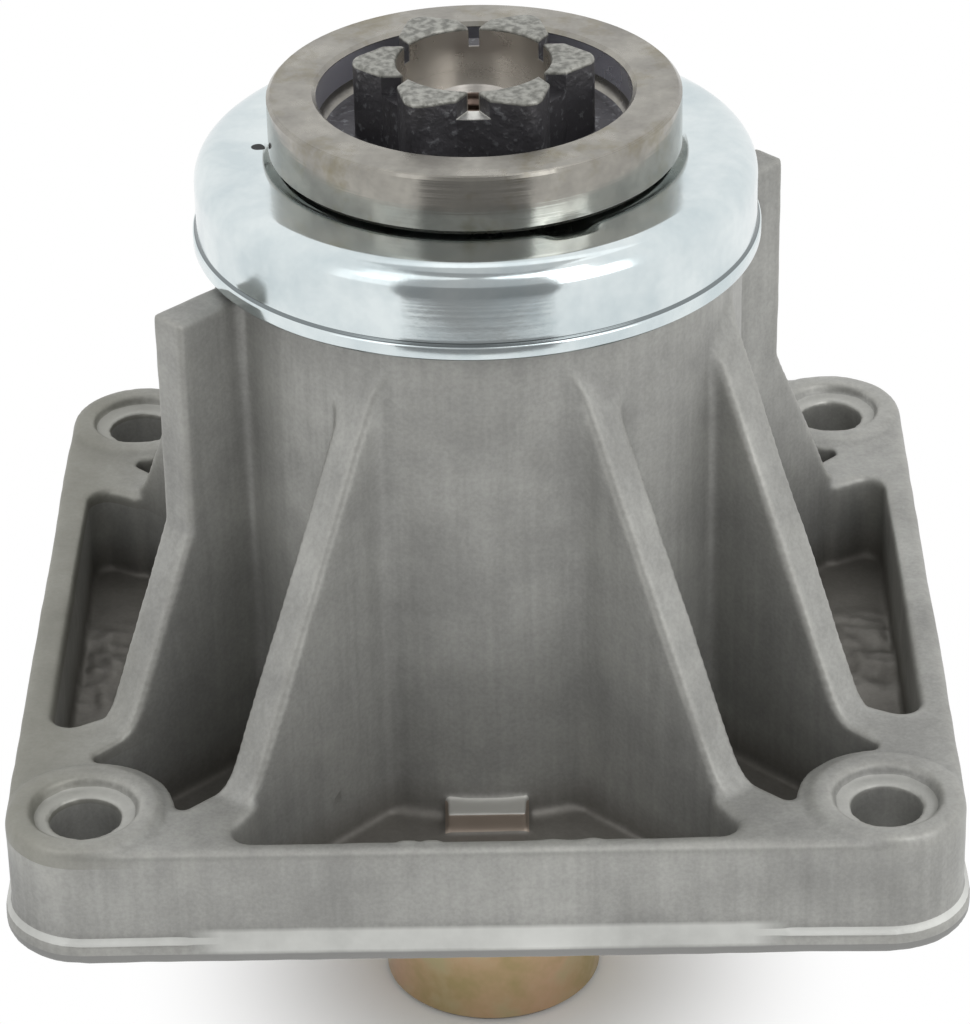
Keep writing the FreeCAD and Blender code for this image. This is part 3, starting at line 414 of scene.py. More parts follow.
def casting_skin(points, normals):
    """How far each point of the casting moves: quick and slow waves along the normal, and upwards a rough
    field on the floors of the side pockets and a ragged one on the burrs. Each place is a product of smooth
    steps in X, Y and Z, and each field is a level plus waves of two sizes."""
    x, y, z = points.T
    skin = SKIN_HEIGHT * waves(points, SKIN_WAVE, 40, 1) + SLOW_HEIGHT * waves(points, SLOW_WAVE, 24, 2)
    moved = normals * skin[:, None]
    in_side_pocket = smooth_step(np.abs(x), LUMP_START, LUMP_FULL)
    in_side_pocket = in_side_pocket * close_to(y, LUMP_MIDDLE, LUMP_STRETCH, LUMP_END)
    low = smooth_step(-z, -LUMP_TOP, -LUMP_LOW) * (z > LUMP_BOTTOM)
    rough = 0.5 + 0.3 * waves(points, LUMP_WAVE, 30, 3) + 0.2 * waves(points, LUMP_RIPPLE, 40, 5)
    moved[:, 2] += LUMP_HEIGHT * rough * in_side_pocket * low
    on_rim = smooth_step(z, FLANGE_TOP - BURR_BELOW, FLANGE_TOP - BURR_FULL) * (y < 0)
    at_edge = close_to(y, BURR_EDGE, BURR_EDGE_FULL, BURR_EDGE_END)
    along = sum(close_to(x, *burr) for burr in BURRS)
    ragged = 0.3 + 0.6 * waves(points, BURR_WAVE, 20, 4) + 0.5 * waves(points, BURR_RIPPLE, 20, 6)
    moved[:, 2] += BURR_HEIGHT * on_rim * at_edge * along * np.clip(ragged, 0, 1.4)
    return moved


print("skin waves in mm:", round(SKIN_HEIGHT / MM, 3), "quick,", round(SLOW_HEIGHT / MM, 3), "slow")

# %% [markdown]
# Remeshing makes even faces, and thinning brings their number down again, mostly on the flat faces, where
# few are needed. The bend of the surface is kept at each point, because the finish paints edges pale, for
# wear and as a painted highlight, and paints painted shade at the foot of a wall, and it needs to know both.

# %% Casting mesh
CAST_GRAIN = 0.45 * MM
CAST_TRIANGLES = 195000
SEAT_REACH = 27.4 * MM
EDGE_PASSES = 3
BEND_PASSES = 2
MERGE_DISTANCE = 0.001 * MM
# The bend, in steps of the mesh, at which an edge is wholly worn and lit or a hollow wholly shaded
WORN_BEND, HOLLOW_BEND = 0.16, 0.09


def merged_copy(node):
    """A copy of a node's mesh with its loose triangles joined at their corners."""
    work = bmesh.new()
    work.from_mesh(nodes[node].data)
    bmesh.ops.remove_doubles(work, verts=work.verts, dist=MERGE_DISTANCE)
    mesh = bpy.data.meshes.new(node + "_copy")
    work.to_mesh(mesh)
    work.free()
    return mesh


def through_modifier(mesh, kind, **settings):
    """The mesh that one modifier makes of a mesh."""
    carrier = bpy.data.objects.new("carrier", mesh)
    bpy.context.scene.collection.objects.link(carrier)
    modifier = carrier.modifiers.new(kind.lower(), kind)
    for name, value in settings.items():
        setattr(modifier, name, value)
    graph = bpy.context.evaluated_depsgraph_get()
    made = bpy.data.meshes.new_from_object(carrier.evaluated_get(graph))
    bpy.data.objects.remove(carrier)
    return made


def cast_mesh():
    """The housing as a casting. Each pass moves a point half way to its neighbours' mean, the skin then
    moves it once more, and no point leaves the solid's own box."""
    mesh = through_modifier(merged_copy("housing"), "REMESH", mode="VOXEL", voxel_size=CAST_GRAIN)
    points, normals, edges = arrays_of(mesh)
    free = (np.hypot(points[:, 0], points[:, 1]) > SEAT_REACH)[:, None]
    for edge_pass in range(EDGE_PASSES):
        points += 0.5 * free * (neighbour_mean(points, edges) - points)
    points += free * casting_skin(points, normals)
    low, high = (np.array(corner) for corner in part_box("housing"))
    points = np.clip(points, low, high)
    mesh.vertices.foreach_set("co", points.astype(np.float32).ravel())
    mesh.update()
    triangles = sum(len(face.vertices) - 2 for face in mesh.polygons)
    return through_modifier(mesh, "DECIMATE", ratio=CAST_TRIANGLES / triangles)


def mark_edges(mesh):
    """Stores how sharply the surface bends at each point: one share is 1 where it bends out, as edges do,
    for pale wear with a painted highlight, and the other is 1 where it bends in, as the foot of a wall does,
    for painted shade. A point's bend is how far its neighbours' mean lies below it, measured in steps of the
    mesh."""
    points, normals, edges = arrays_of(mesh)
    step = np.linalg.norm(points[edges[:, 0]] - points[edges[:, 1]], axis=1).mean()
    bend = ((points - neighbour_mean(points, edges)) * normals).sum(axis=1) / step
    for bend_pass in range(BEND_PASSES):
        bend = 0.5 * bend + 0.5 * neighbour_mean(bend, edges)
    for name, amount in (("worn_edge", bend / WORN_BEND), ("hollow_edge", -bend / HOLLOW_BEND)):
        share = np.clip(amount, 0, 1).astype(np.float32)
        mesh.attributes.new(name, "FLOAT", "POINT").data.foreach_set("value", share)
        print(name, "mean share:", round(float(share.mean()), 3))


casting = cast_mesh()
casting.name = "cast_housing"
mark_edges(casting)
print("casting:", len(casting.vertices), "points,", len(casting.polygons), "faces")

# %% [markdown]
# Die cast aluminium, tumbled and handled, is a dull mid grey. Its skin has slow cloudy patches from the
# flow of the metal, a fine grain, faint upright scratches from the die, paler worn edges that also carry a
# painted highlight, and painted shade in its hollows. Where the die halves met, the flash round the foot
# was shorn off and left a bright strip, which with the bevel in it is also painted lighter as a painted
# highlight, and the lip below it is painted darker as painted shade. A cutter faced a clean ring round each
# deck hole, brown dirt lies on the floors of the pockets with painted shade, darker towards the bottom, the
# lug's top is painted lighter as a painted highlight, and the left rim has a faint olive stain. Painted maps
# could show all this, but places told apart by their distances stay sharp from near by and need no
# unwrapping.

# %% Places on the casting
CORNER_INSIDE = 104 * MM
STRIP_LEVEL, STRIP_RISE, STRIP_FADE = 3.1 * MM, 1.5 * MM, 0.3 * MM
STRIP_FULL, STRIP_END = 33 * MM, 37 * MM
BEVEL_LEVEL, BEVEL_RISE = 3.25 * MM, 0.45 * MM
LIP_SHADE_LEVEL, LIP_SHADE_RISE = 0.85 * MM, 0.65 * MM
DIRT_SHADE_TOP, DIRT_SHADE_BOTTOM, DIRT_SHADE_SHARE = 3 * POCKET_FLOOR, POCKET_FLOOR / 2, 0.6
HOLE_OUT = mounts["deck_holes"]["dims"]["spacing_x_mm"] * MM / 2
SPOT_LEVEL, SPOT_RISE = 15 * MM, 0.35 * MM
SPOT_RADIUS, SPOT_SHARE = 6.75 * MM, 0.4
STAIN_START, STAIN_END, STAIN_LEVEL = -42 * MM, -56 * MM, 14 * MM
STAIN_SHARE = 0.6
LUG_HALF, LUG_LEVEL, LUG_RISE = 5.4 * MM, 4.7 * MM, 1.6 * MM
LUG_TOP = 5.7 * MM
LUG_PLACE, LUG_REACH = -35.7 * MM, 1.9 * MM


def casting_places(tree, place, cloud):
    """Shares from 0 to 1 that tell the casting's places apart by how far out and how high a point lies.
    The flange is alike on all sides, so most distances are taken without their sign."""
    sides = add(tree, "VectorMath", {0: place}, operation="ABSOLUTE")
    x, y, z = add(tree, "SeparateXYZ", {0: sides}).node.outputs
    across, forward = add(tree, "SeparateXYZ", {0: place}).node.outputs[:2]

    # Inside the rim is a square with its corners cut off
    wide = add(tree, "Math", {0: x, 1: y}, operation="MAXIMUM")
    inside = add(tree, "Math", {0: wide, 1: RIM_INSIDE}, operation="LESS_THAN")
    both = add(tree, "Math", {0: x, 1: y}, operation="ADD")
    in_corner = add(tree, "Math", {0: both, 1: CORNER_INSIDE}, operation="LESS_THAN")
    inside = add(tree, "Math", {0: inside, 1: in_corner}, operation="MULTIPLY")
    outside = add(tree, "Math", {0: 1.0, 1: inside}, operation="SUBTRACT")

    # The strip, shorn metal with a painted highlight, fades out before the corners, and the narrow bevel in
    # it, a painted highlight, goes all the way round
    off = add(tree, "Math", {0: z, 1: STRIP_LEVEL}, operation="SUBTRACT")
    off = add(tree, "Math", {0: off}, operation="ABSOLUTE")
    strip = add(tree, "MapRange", {"Value": off, "From Min": STRIP_RISE + STRIP_FADE,
                                   "From Max": STRIP_RISE - STRIP_FADE})
    narrow = add(tree, "Math", {0: x, 1: y}, operation="MINIMUM")
    middle = add(tree, "MapRange", {"Value": narrow, "From Min": STRIP_END, "From Max": STRIP_FULL})
    strip = add(tree, "Math", {0: strip, 1: middle}, operation="MULTIPLY")
    bevel = add(tree, "Math", {0: z, 1: BEVEL_LEVEL, 2: BEVEL_RISE}, operation="COMPARE")
    sheared = add(tree, "Math", {0: strip, 1: bevel}, operation="MAXIMUM")
    sheared = add(tree, "Math", {0: sheared, 1: outside}, operation="MULTIPLY")
    patchy = add(tree, "MapRange", {"Value": cloud, "To Min": 0.55, "To Max": 1.0})
    sheared = add(tree, "Math", {0: sheared, 1: patchy}, operation="MULTIPLY")
    # The lip at the foot of the flange's outside is painted darker: painted shade
    lip = add(tree, "Math", {0: z, 1: LIP_SHADE_LEVEL, 2: LIP_SHADE_RISE}, operation="COMPARE")
    lip = add(tree, "Math", {0: lip, 1: outside}, operation="MULTIPLY")

    # Brown dirt and painted shade on the pocket floors thin out with height, and none of it is on the
    # underside
    dirt = add(tree, "MapRange", {"Value": z, "From Min": DIRT_SHADE_TOP, "From Max": POCKET_FLOOR,
                                  "To Max": DIRT_SHADE_SHARE})
    dirt = add(tree, "Math", {0: dirt, 1: inside}, operation="MULTIPLY")
    upper = add(tree, "Math", {0: z, 1: DIRT_SHADE_BOTTOM}, operation="GREATER_THAN")
    dirt = add(tree, "Math", {0: dirt, 1: upper}, operation="MULTIPLY")

    # The faced rings round the deck holes, and the stain on the left rim
    hole = (HOLE_OUT, HOLE_OUT, SPOT_LEVEL)
    from_hole = add(tree, "VectorMath", {0: sides, 1: hole}, out="Value", operation="DISTANCE")
    spot = add(tree, "Math", {0: from_hole, 1: SPOT_RADIUS}, operation="LESS_THAN")
    faced = add(tree, "Math", {0: z, 1: SPOT_LEVEL, 2: SPOT_RISE}, operation="COMPARE")
    spot = add(tree, "Math", {0: spot, 1: faced}, operation="MULTIPLY")
    spot = add(tree, "Math", {0: spot, 1: SPOT_SHARE}, operation="MULTIPLY")
    stain = add(tree, "MapRange", {"Value": across, "From Min": STAIN_START, "From Max": STAIN_END,
                                   "To Max": STAIN_SHARE})
    high = add(tree, "Math", {0: z, 1: STAIN_LEVEL}, operation="GREATER_THAN")
    stain = add(tree, "Math", {0: stain, 1: high}, operation="MULTIPLY")

    # The lug at the foot of the barrel, in front only, with its top painted lighter as a painted highlight
    lug = add(tree, "Math", {0: forward, 1: LUG_PLACE, 2: LUG_REACH}, operation="COMPARE")
    on_lug = add(tree, "Math", {0: x, 1: LUG_HALF}, operation="LESS_THAN")
    lug = add(tree, "Math", {0: lug, 1: on_lug}, operation="MULTIPLY")
    risen = add(tree, "Math", {0: z, 1: LUG_LEVEL, 2: LUG_RISE}, operation="COMPARE")
    lug = add(tree, "Math", {0: lug, 1: risen}, operation="MULTIPLY")
    lug_top = add(tree, "Math", {0: z, 1: LUG_TOP}, operation="GREATER_THAN")
    return {"sheared": sheared, "lip": lip, "dirt": dirt, "spot": spot, "stain": stain, "lug": lug,
            "lug_top": lug_top}


print("deck holes lie", round(HOLE_OUT / MM, 1), "mm out from the middle planes")

# %% [markdown]
# The finish itself is a stack of layers. The cloud and the grain are noise of different sizes, the
# scratches are noise stretched along Z, and each place then lies over what is below it.

# %% Cast aluminium
DRAG_STRETCH = (1, 1, 0.04)
# Shares of pale wear with a painted highlight on the edges, and of painted shade in the hollows
WORN_LIT_SHARE, HOLLOW_SHADE_SHARE = 0.6, 0.55


def cast_aluminium():
    """Dull, cloudy grey metal that hardly mirrors anything, with paler worn edges that also carry a painted
    highlight. It is less than wholly metallic, because the oxide skin scatters light as a paint does."""
    material, tree, shader, place = start_finish("die_cast_aluminium")
    cloud = add(tree, "TexNoise", {"Vector": place, "Scale": per_mm(16), "Detail": 4.0, "Roughness": 0.6})
    cloud = add(tree, "MapRange", {"Value": cloud, "From Min": 0.32, "From Max": 0.68})
    stretched = add(tree, "Mapping", {"Vector": place, "Scale": DRAG_STRETCH})
    drag = add(tree, "TexNoise", {"Vector": stretched, "Scale": per_mm(1.3), "Detail": 3.0})
    drag = add(tree, "MapRange", {"Value": drag, "From Min": 0.35, "From Max": 0.65})
    grain = add(tree, "TexNoise", {"Vector": place, "Scale": per_mm(0.55), "Detail": 3.0, "Roughness": 0.6})
    worn = add(tree, "Attribute", {}, out="Fac", attribute_name="worn_edge")
    hollow = add(tree, "Attribute", {}, out="Fac", attribute_name="hollow_edge")
    places = casting_places(tree, place, cloud)

    grey = add(tree, "Mix", {0: cloud, MIX_A: linear("#91918e"), MIX_B: linear("#a7a7a3")}, **COLOUR)
    streak = add(tree, "MapRange", {"Value": drag, "To Min": 0.95, "To Max": 1.05})
    speckle = add(tree, "MapRange", {"Value": grain, "From Min": 0.35, "From Max": 0.65,
                                     "To Min": 0.93, "To Max": 1.06})
    for pattern in (streak, speckle):
        grey = add(tree, "Mix", {0: 1.0, MIX_A: grey, MIX_B: pattern}, blend_type="MULTIPLY", **COLOUR)
    worn_lit_share = add(tree, "Math", {0: worn, 1: WORN_LIT_SHARE}, operation="MULTIPLY")
    hollow_shade_share = add(tree, "Math", {0: hollow, 1: HOLLOW_SHADE_SHARE}, operation="MULTIPLY")
    # The lug's top is painted lighter than its brownish sides, as a painted highlight
    lug_sides, lug_lit_top = linear("#a3968a"), linear("#b4b3ae")
    lug_grey = add(tree, "Mix", {0: places["lug_top"], MIX_A: lug_sides, MIX_B: lug_lit_top}, **COLOUR)
    layers = (
        # Worn edges: pale wear and a painted highlight
        (worn_lit_share, linear("#c6c4ba")),
        # Brown dirt and painted shade on the pocket floors
        (places["dirt"], linear("#5a534a")),
        (places["stain"], linear("#7d7c70")),
        # Painted shade in the hollows at the foot of walls
        (hollow_shade_share, linear("#4b4945")),
        # The lug, with a painted highlight on its top
        (places["lug"], lug_grey),
        (places["spot"], linear("#c6c6c1")),
        # Painted shade on the lip
        (places["lip"], linear("#8a8a88")),
        # Bright shorn strip with a painted highlight, and the bevel's painted highlight
        (places["sheared"], linear("#d8d9d5")),
    )
    for share, colour in layers:
        grey = add(tree, "Mix", {0: share, MIX_A: grey, MIX_B: colour}, **COLOUR)
    tree.links.new(grey, shader.inputs["Base Color"])

    rough = add(tree, "MapRange", {"Value": cloud, "To Min": 0.58, "To Max": 0.46})
    rough = add(tree, "Math", {0: worn, 1: -0.12, 2: rough}, operation="MULTIPLY_ADD")
    tree.links.new(rough, shader.inputs["Roughness"])
    shader.inputs["Metallic"].default_value = 0.6
    ground = add(tree, "Bump", {"Height": drag, "Distance": 0.02 * MM, "Strength": 0.5}, out="Normal")
    ground = add(tree, "Bump", {"Height": grain, "Distance": 0.03 * MM, "Strength": 0.7,
                                "Normal": ground}, out="Normal")
    tree.links.new(ground, shader.inputs["Normal"])
    return material


housing = put_piece("cast_housing", casting, "housing", cast_aluminium())
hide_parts("housing")
print("casting dressed:", housing.name)

# %% [markdown]
# ## The dust shield
# The shield is drawn from sheet steel on a press and plated with bright zinc. It is a turned form, so its
# section is carried once round the axis: a straight stretch is an even run of points on a line, and a round
# is a short run on an arc. A press leaves a little waviness round the skirt, and one shallow dent shows
# beside the blade head, where the dark gap opens. A modifier could spin the section, but whole arrays of
# angles take the waves and the dent in the same step.

# %% The dust shield
SHEET = 1.3 * MM
SHOULDER_ROUND = 3.6 * MM
BEAD_HEIGHT, BEAD_OUT = 2.1 * MM, 0.5 * MM
BEAD_ROUND, BEAD_DROP = 0.45 * MM, 0.1 * MM
GROOVE_ROUND, GROOVE_LIFT = 0.2 * MM, 0.15 * MM
COLLAR_RADIUS = 16.02 * MM
AROUND = 480
# Waves round the skirt: how many, how high beside the others, and the angle at which they start
SKIRT_WAVES = ((3, 1.0, 0.6), (7, 0.6, 1.9), (13, 0.4, 0.0))
SKIRT_WAVE_HEIGHT = 0.02 * MM
SKIRT_WAVE_START, SKIRT_WAVE_FULL = 28 * MM, 35 * MM
HEAD_RADIUS, HEAD_FADE = 26.25 * MM, 1 * MM
SEAT_DIP = 0.35 * MM
DENT_ANGLE = math.radians(-64)
DENT_WIDTH, DENT_DEPTH = 3.2 * MM, 0.55 * MM
DENT_RADIUS, DENT_FULL, DENT_END = 25 * MM, 1.5 * MM, 5 * MM


def arc(centre, radius, start, end, count):
    """Points on an arc of a section, as radius and height, from one angle to another in degrees."""
    angle = np.radians(np.linspace(start, end, count))
    return np.stack([centre[0] + radius * np.cos(angle), centre[1] + radius * np.sin(angle)], axis=1)


def line(start, end, count):
    """Points on a straight stretch of a section."""
    return np.linspace(start, end, count)


def shield_section():
    """The sheet's section as radius and height: out over the top, round the shoulder, down the skirt to
    the groove, round the bead, and back along the inside."""
    low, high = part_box("dust_shield")
    bead, rim, top = high.x, low.z, high.z
    skirt = bead - BEAD_OUT
    inside = skirt - SHEET
    corner = (skirt - SHOULDER_ROUND, top - SHOULDER_ROUND)
    bead_top = rim + BEAD_HEIGHT
    groove = bead_top + GROOVE_LIFT
    return np.concatenate([
        line((COLLAR_RADIUS, top), (corner[0], top), 40)[:-1],
        arc(corner, SHOULDER_ROUND, 90, 0, 22),
        line((skirt, corner[1]), (skirt, groove), 14)[1:-1],
        arc((skirt + GROOVE_ROUND, groove), GROOVE_ROUND, 180, 250, 5),
        arc((bead - BEAD_ROUND, bead_top - BEAD_DROP - BEAD_ROUND), BEAD_ROUND, 80, 0, 7),
        arc((bead - BEAD_ROUND, rim + BEAD_ROUND), BEAD_ROUND, 0, -90, 7),
        arc((inside + BEAD_ROUND, rim + BEAD_ROUND), BEAD_ROUND, -90, -180, 5),
        line((inside, rim + 2 * BEAD_ROUND), (inside, corner[1]), 12),
        arc(corner, SHOULDER_ROUND - SHEET, 0, 90, 14)[1:],
        line((corner[0], top - SHEET), (COLLAR_RADIUS, top - SHEET), 24)[1:],
    ])


def shield_points():
    """Radius and height from the section, angle from the column. The skirt waves slightly with angle,
    the top dips a little under the blade head, and the dent lowers it more where angle and radius come
    near its middle."""
    section = shield_section()
    angle = np.linspace(0, 2 * np.pi, AROUND, endpoint=False)
    radius = np.repeat(section[:, :1], AROUND, axis=1)
    height = np.repeat(section[:, 1:], AROUND, axis=1)
    round_wave = sum(share * np.sin(count * angle + start) for count, share, start in SKIRT_WAVES)
    outward = smooth_step(radius, SKIRT_WAVE_START, SKIRT_WAVE_FULL)
    radius = radius - SKIRT_WAVE_HEIGHT * outward * (1 + round_wave / 2)
    along = (angle - DENT_ANGLE + np.pi) % (2 * np.pi) - np.pi
    dent = np.exp(-(along * HEAD_RADIUS / DENT_WIDTH) ** 4)
    dent = dent * close_to(radius, DENT_RADIUS, DENT_FULL, DENT_END)
    under_head = smooth_step(-radius, -HEAD_RADIUS - HEAD_FADE, -HEAD_RADIUS)
    height = height - DENT_DEPTH * dent - SEAT_DIP * under_head
    return np.stack([radius * np.cos(angle), radius * np.sin(angle), height], axis=-1)


# The rows run backwards, so that the faces point outwards
shield_mesh = closed_grid("zinc_dust_shield", shield_points()[::-1])
print("shield:", len(shield_mesh.polygons), "faces")

# %% [markdown]
# Bright zinc plate over drawn steel is nearly white with a blue cast. It mirrors the room softly, with
# faint rings from the press and a cloudy bloom where the bath left the plate a little duller. One dark
# speck lies beside the blade head, and the groove over the bead is painted a darker grey as painted shade.
# The rings follow the distance from the axis, so no picture has to be wrapped round the cup.

# %% Bright zinc plate
SPECK_PLACE = (-27.6 * MM, 0.4 * MM, 83 * MM)
SPECK_RADIUS = 0.9 * MM
GROOVE_SHADE_RISE = 0.2 * MM


def bright_zinc():
    """A cool, nearly white mirror with a soft blur. The rings are finer on a real cup, and are drawn
    0.7 mm apart so that they show."""
    material, tree, shader, place = start_finish("bright_zinc_plate")
    height, rings = ring_coordinates(tree, place)[1:]
    bloom = add(tree, "TexNoise", {"Vector": place, "Scale": per_mm(9), "Detail": 4.0, "Roughness": 0.6})
    bloom = add(tree, "MapRange", {"Value": bloom, "From Min": 0.35, "From Max": 0.65})
    lines = add(tree, "TexNoise", {"W": rings, "Scale": per_mm(0.7), "Detail": 2.0}, noise_dimensions="1D")
    fleck = add(tree, "TexNoise", {"Vector": place, "Scale": per_mm(0.8), "Detail": 2.0})
    colour = add(tree, "Mix", {0: bloom, MIX_A: linear("#cbd6d9"), MIX_B: linear("#dfe7e8")}, **COLOUR)
    from_speck = add(tree, "VectorMath", {0: place, 1: SPECK_PLACE}, out="Value", operation="DISTANCE")
    speck = add(tree, "Math", {0: from_speck, 1: SPECK_RADIUS}, operation="LESS_THAN")
    colour = add(tree, "Mix", {0: speck, MIX_A: colour, MIX_B: linear("#101213")}, **COLOUR)
    # Painted shade: the groove over the bead is painted a darker grey
    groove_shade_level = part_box("dust_shield")[0].z + BEAD_HEIGHT
    groove = add(tree, "Math", {0: height, 1: groove_shade_level, 2: GROOVE_SHADE_RISE}, operation="COMPARE")
    colour = add(tree, "Mix", {0: groove, MIX_A: colour, MIX_B: linear("#7f8688")}, **COLOUR)
    tree.links.new(colour, shader.inputs["Base Color"])
    rough = add(tree, "MapRange", {"Value": bloom, "To Min": 0.18, "To Max": 0.10})
    tree.links.new(rough, shader.inputs["Roughness"])
    shader.inputs["Metallic"].default_value = 1.0
    ground = add(tree, "Bump", {"Height": lines, "Distance": 0.006 * MM, "Strength": 0.5}, out="Normal")
    ground = add(tree, "Bump", {"Height": fleck, "Distance": 0.008 * MM, "Strength": 0.5,
                                "Normal": ground}, out="Normal")
    tree.links.new(ground, shader.inputs["Normal"])
    return material


shield = put_piece("zinc_dust_shield", shield_mesh, "rotor", bright_zinc())
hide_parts("dust_shield")
print("shield dressed:", shield.name)

# %% [markdown]
# ## The threads
# Both ends of the shaft are tapped. A thread is one ridge wound round the hole, so its radius depends on
# height and angle together: one full turn lifts the ridge by one pitch. A bump in the finish could fake it,
# but it would leave the hole's outline smooth. The liner below has the ridge on its inner face and a plain
# back that lies against the hole, so the surface closes on itself.

# %% The threads
PITCH = 1.5 * MM
RIDGE = 0.55 * MM
# The flat crest of the ridge, as a share of the pitch
CREST = 0.2
TURN_COLUMNS = 72
ROWS_PER_PITCH = 8
LINER_GAP, LINER_WALL = 0.01 * MM, 0.03 * MM


def thread_points(hole, low, high):
    """Radius = hole - ridge x a triangle wave of (height / pitch - angle / full turn), flat at its crest
    and fading at the ends. Two more rows, close to the hole's radius, make the plain back."""
    rows = int(ROWS_PER_PITCH * (high - low) / PITCH)
    height = np.linspace(high, low, rows)[:, None]
    angle = np.linspace(0, 2 * np.pi, TURN_COLUMNS, endpoint=False)[None, :]
    phase = (height / PITCH - angle / (2 * np.pi)) % 1
    triangle = np.clip((0.5 - np.abs(phase - 0.5)) / (0.5 - CREST / 2), 0, 1)
    fade = smooth_step(height, low, low + PITCH) * smooth_step(-height, -high, -high + PITCH)
    face = hole - LINER_GAP - LINER_WALL - RIDGE * triangle * fade
    radius = np.concatenate([face, np.full((2, TURN_COLUMNS), hole - LINER_GAP)])
    height = np.concatenate([height, [[low], [high]]])
    height = np.broadcast_to(height, radius.shape)
    return np.stack([radius * np.cos(angle), radius * np.sin(angle), height], axis=-1)


def oiled_thread():
    """Cut steel that has gone brown with old oil: dark and half glossy."""
    material, tree, shader, place = start_finish("oiled_thread_steel")
    stain = add(tree, "TexNoise", {"Vector": place, "Scale": per_mm(2.5), "Detail": 3.0})
    stain = add(tree, "MapRange", {"Value": stain, "From Min": 0.35, "From Max": 0.65})
    colour = add(tree, "Mix", {0: stain, MIX_A: linear("#5a4840"), MIX_B: linear("#8d7f76")}, **COLOUR)
    tree.links.new(colour, shader.inputs["Base Color"])
    shader.inputs["Metallic"].default_value = 0.85
    shader.inputs["Roughness"].default_value = 0.38
    return material


thread_steel = oiled_thread()
tapped_holes = {name: mount for name, mount in mounts.items() if mount["kind"] == "threaded_hole"}
for name, mount in tapped_holes.items():
    middle = mount["pos_m"][2]
    half = mount["dims"]["length_mm"] * MM / 2
    hole = mount["dims"]["r_mm"] * MM
    mesh = closed_grid(name + "_thread", thread_points(hole, middle - half, middle + half))
    put_piece(name + "_thread", mesh, "rotor", thread_steel)
    print(name, "thread:", len(mesh.polygons), "faces")

# %% [markdown]
# ## The shaft
# The blade head is turned from a forging. Its seat shows fine turning rings and a warm grey with an olive
# stain, the floor of the recess and the sides of the crown keep the black forging skin with pale flecks of
# grit, and the tops of the crown's lobes are bare, mottled metal. The recess's wall, the counterbore in the
# crown and the front slot's floor are cut clean, and the wall is painted much lighter still, as painted light
# against the shade of the recess. The faces could each have a material of their own, but all
# of it is one solid, so one finish tells the places apart by their distance from the axis and their height.

# %% Places on the shaft
SKIN_REACH = 19.25 * MM
SKIN_MIDDLE, SKIN_HALF = 89.2 * MM, 5.2 * MM
WALL_RADIUS, WALL_HALF = 19.8 * MM, 0.55 * MM
WALL_MIDDLE, WALL_RISE = 88.6 * MM, 1.8 * MM
LOBE_LEVEL, LOBE_REACH = 94.4 * MM, 15.6 * MM
CROWN_BORE = 10 * MM
SLOT_RADIUS, SLOT_HALF = 11.1 * MM, 1.25 * MM
SLOT_LEVEL, SLOT_RISE = 92.2 * MM, 0.1 * MM


def shaft_places(tree, place, radius, height):
    """Shares of 0 or 1 for the forging skin, the recess's wall, the counterbore, the tops of the lobes and
    the floor of the front slot. Each is a window of radius or height, or of both."""
    within = add(tree, "Math", {0: radius, 1: SKIN_REACH}, operation="LESS_THAN")
    skinned = add(tree, "Math", {0: height, 1: SKIN_MIDDLE, 2: SKIN_HALF}, operation="COMPARE")
    skinned = add(tree, "Math", {0: skinned, 1: within}, operation="MULTIPLY")
    wall = add(tree, "Math", {0: radius, 1: WALL_RADIUS, 2: WALL_HALF}, operation="COMPARE")
    upright = add(tree, "Math", {0: height, 1: WALL_MIDDLE, 2: WALL_RISE}, operation="COMPARE")
    wall = add(tree, "Math", {0: wall, 1: upright}, operation="MULTIPLY")
    bored = add(tree, "Math", {0: radius, 1: CROWN_BORE}, operation="LESS_THAN")
    lobed = add(tree, "Math", {0: radius, 1: LOBE_REACH}, operation="LESS_THAN")
    high = add(tree, "Math", {0: height, 1: LOBE_LEVEL}, operation="GREATER_THAN")
    lobed = add(tree, "Math", {0: lobed, 1: high}, operation="MULTIPLY")
    slot = add(tree, "Math", {0: radius, 1: SLOT_RADIUS, 2: SLOT_HALF}, operation="COMPARE")
    level = add(tree, "Math", {0: height, 1: SLOT_LEVEL, 2: SLOT_RISE}, operation="COMPARE")
    slot = add(tree, "Math", {0: slot, 1: level}, operation="MULTIPLY")
    forward = add(tree, "SeparateXYZ", {0: place}, out="Y")
    in_front = add(tree, "Math", {0: forward, 1: -SLOT_RADIUS, 2: SLOT_HALF}, operation="COMPARE")
    slot = add(tree, "Math", {0: slot, 1: in_front}, operation="MULTIPLY")
    return skinned, wall, bored, lobed, slot


print("places on the shaft ready")

# %% [markdown]
# Turned steel is a warm grey that mirrors softly along its rings. The skin and the lobes are rougher and
# carry a fine grit, and the head's outer wall is the smoothest of all.

# %% Turned steel
RIM_RADIUS, RIM_HALF = 26.2 * MM, 0.3 * MM
GRIT_ROUGHNESS, RIM_ROUGHNESS = 0.18, -0.18


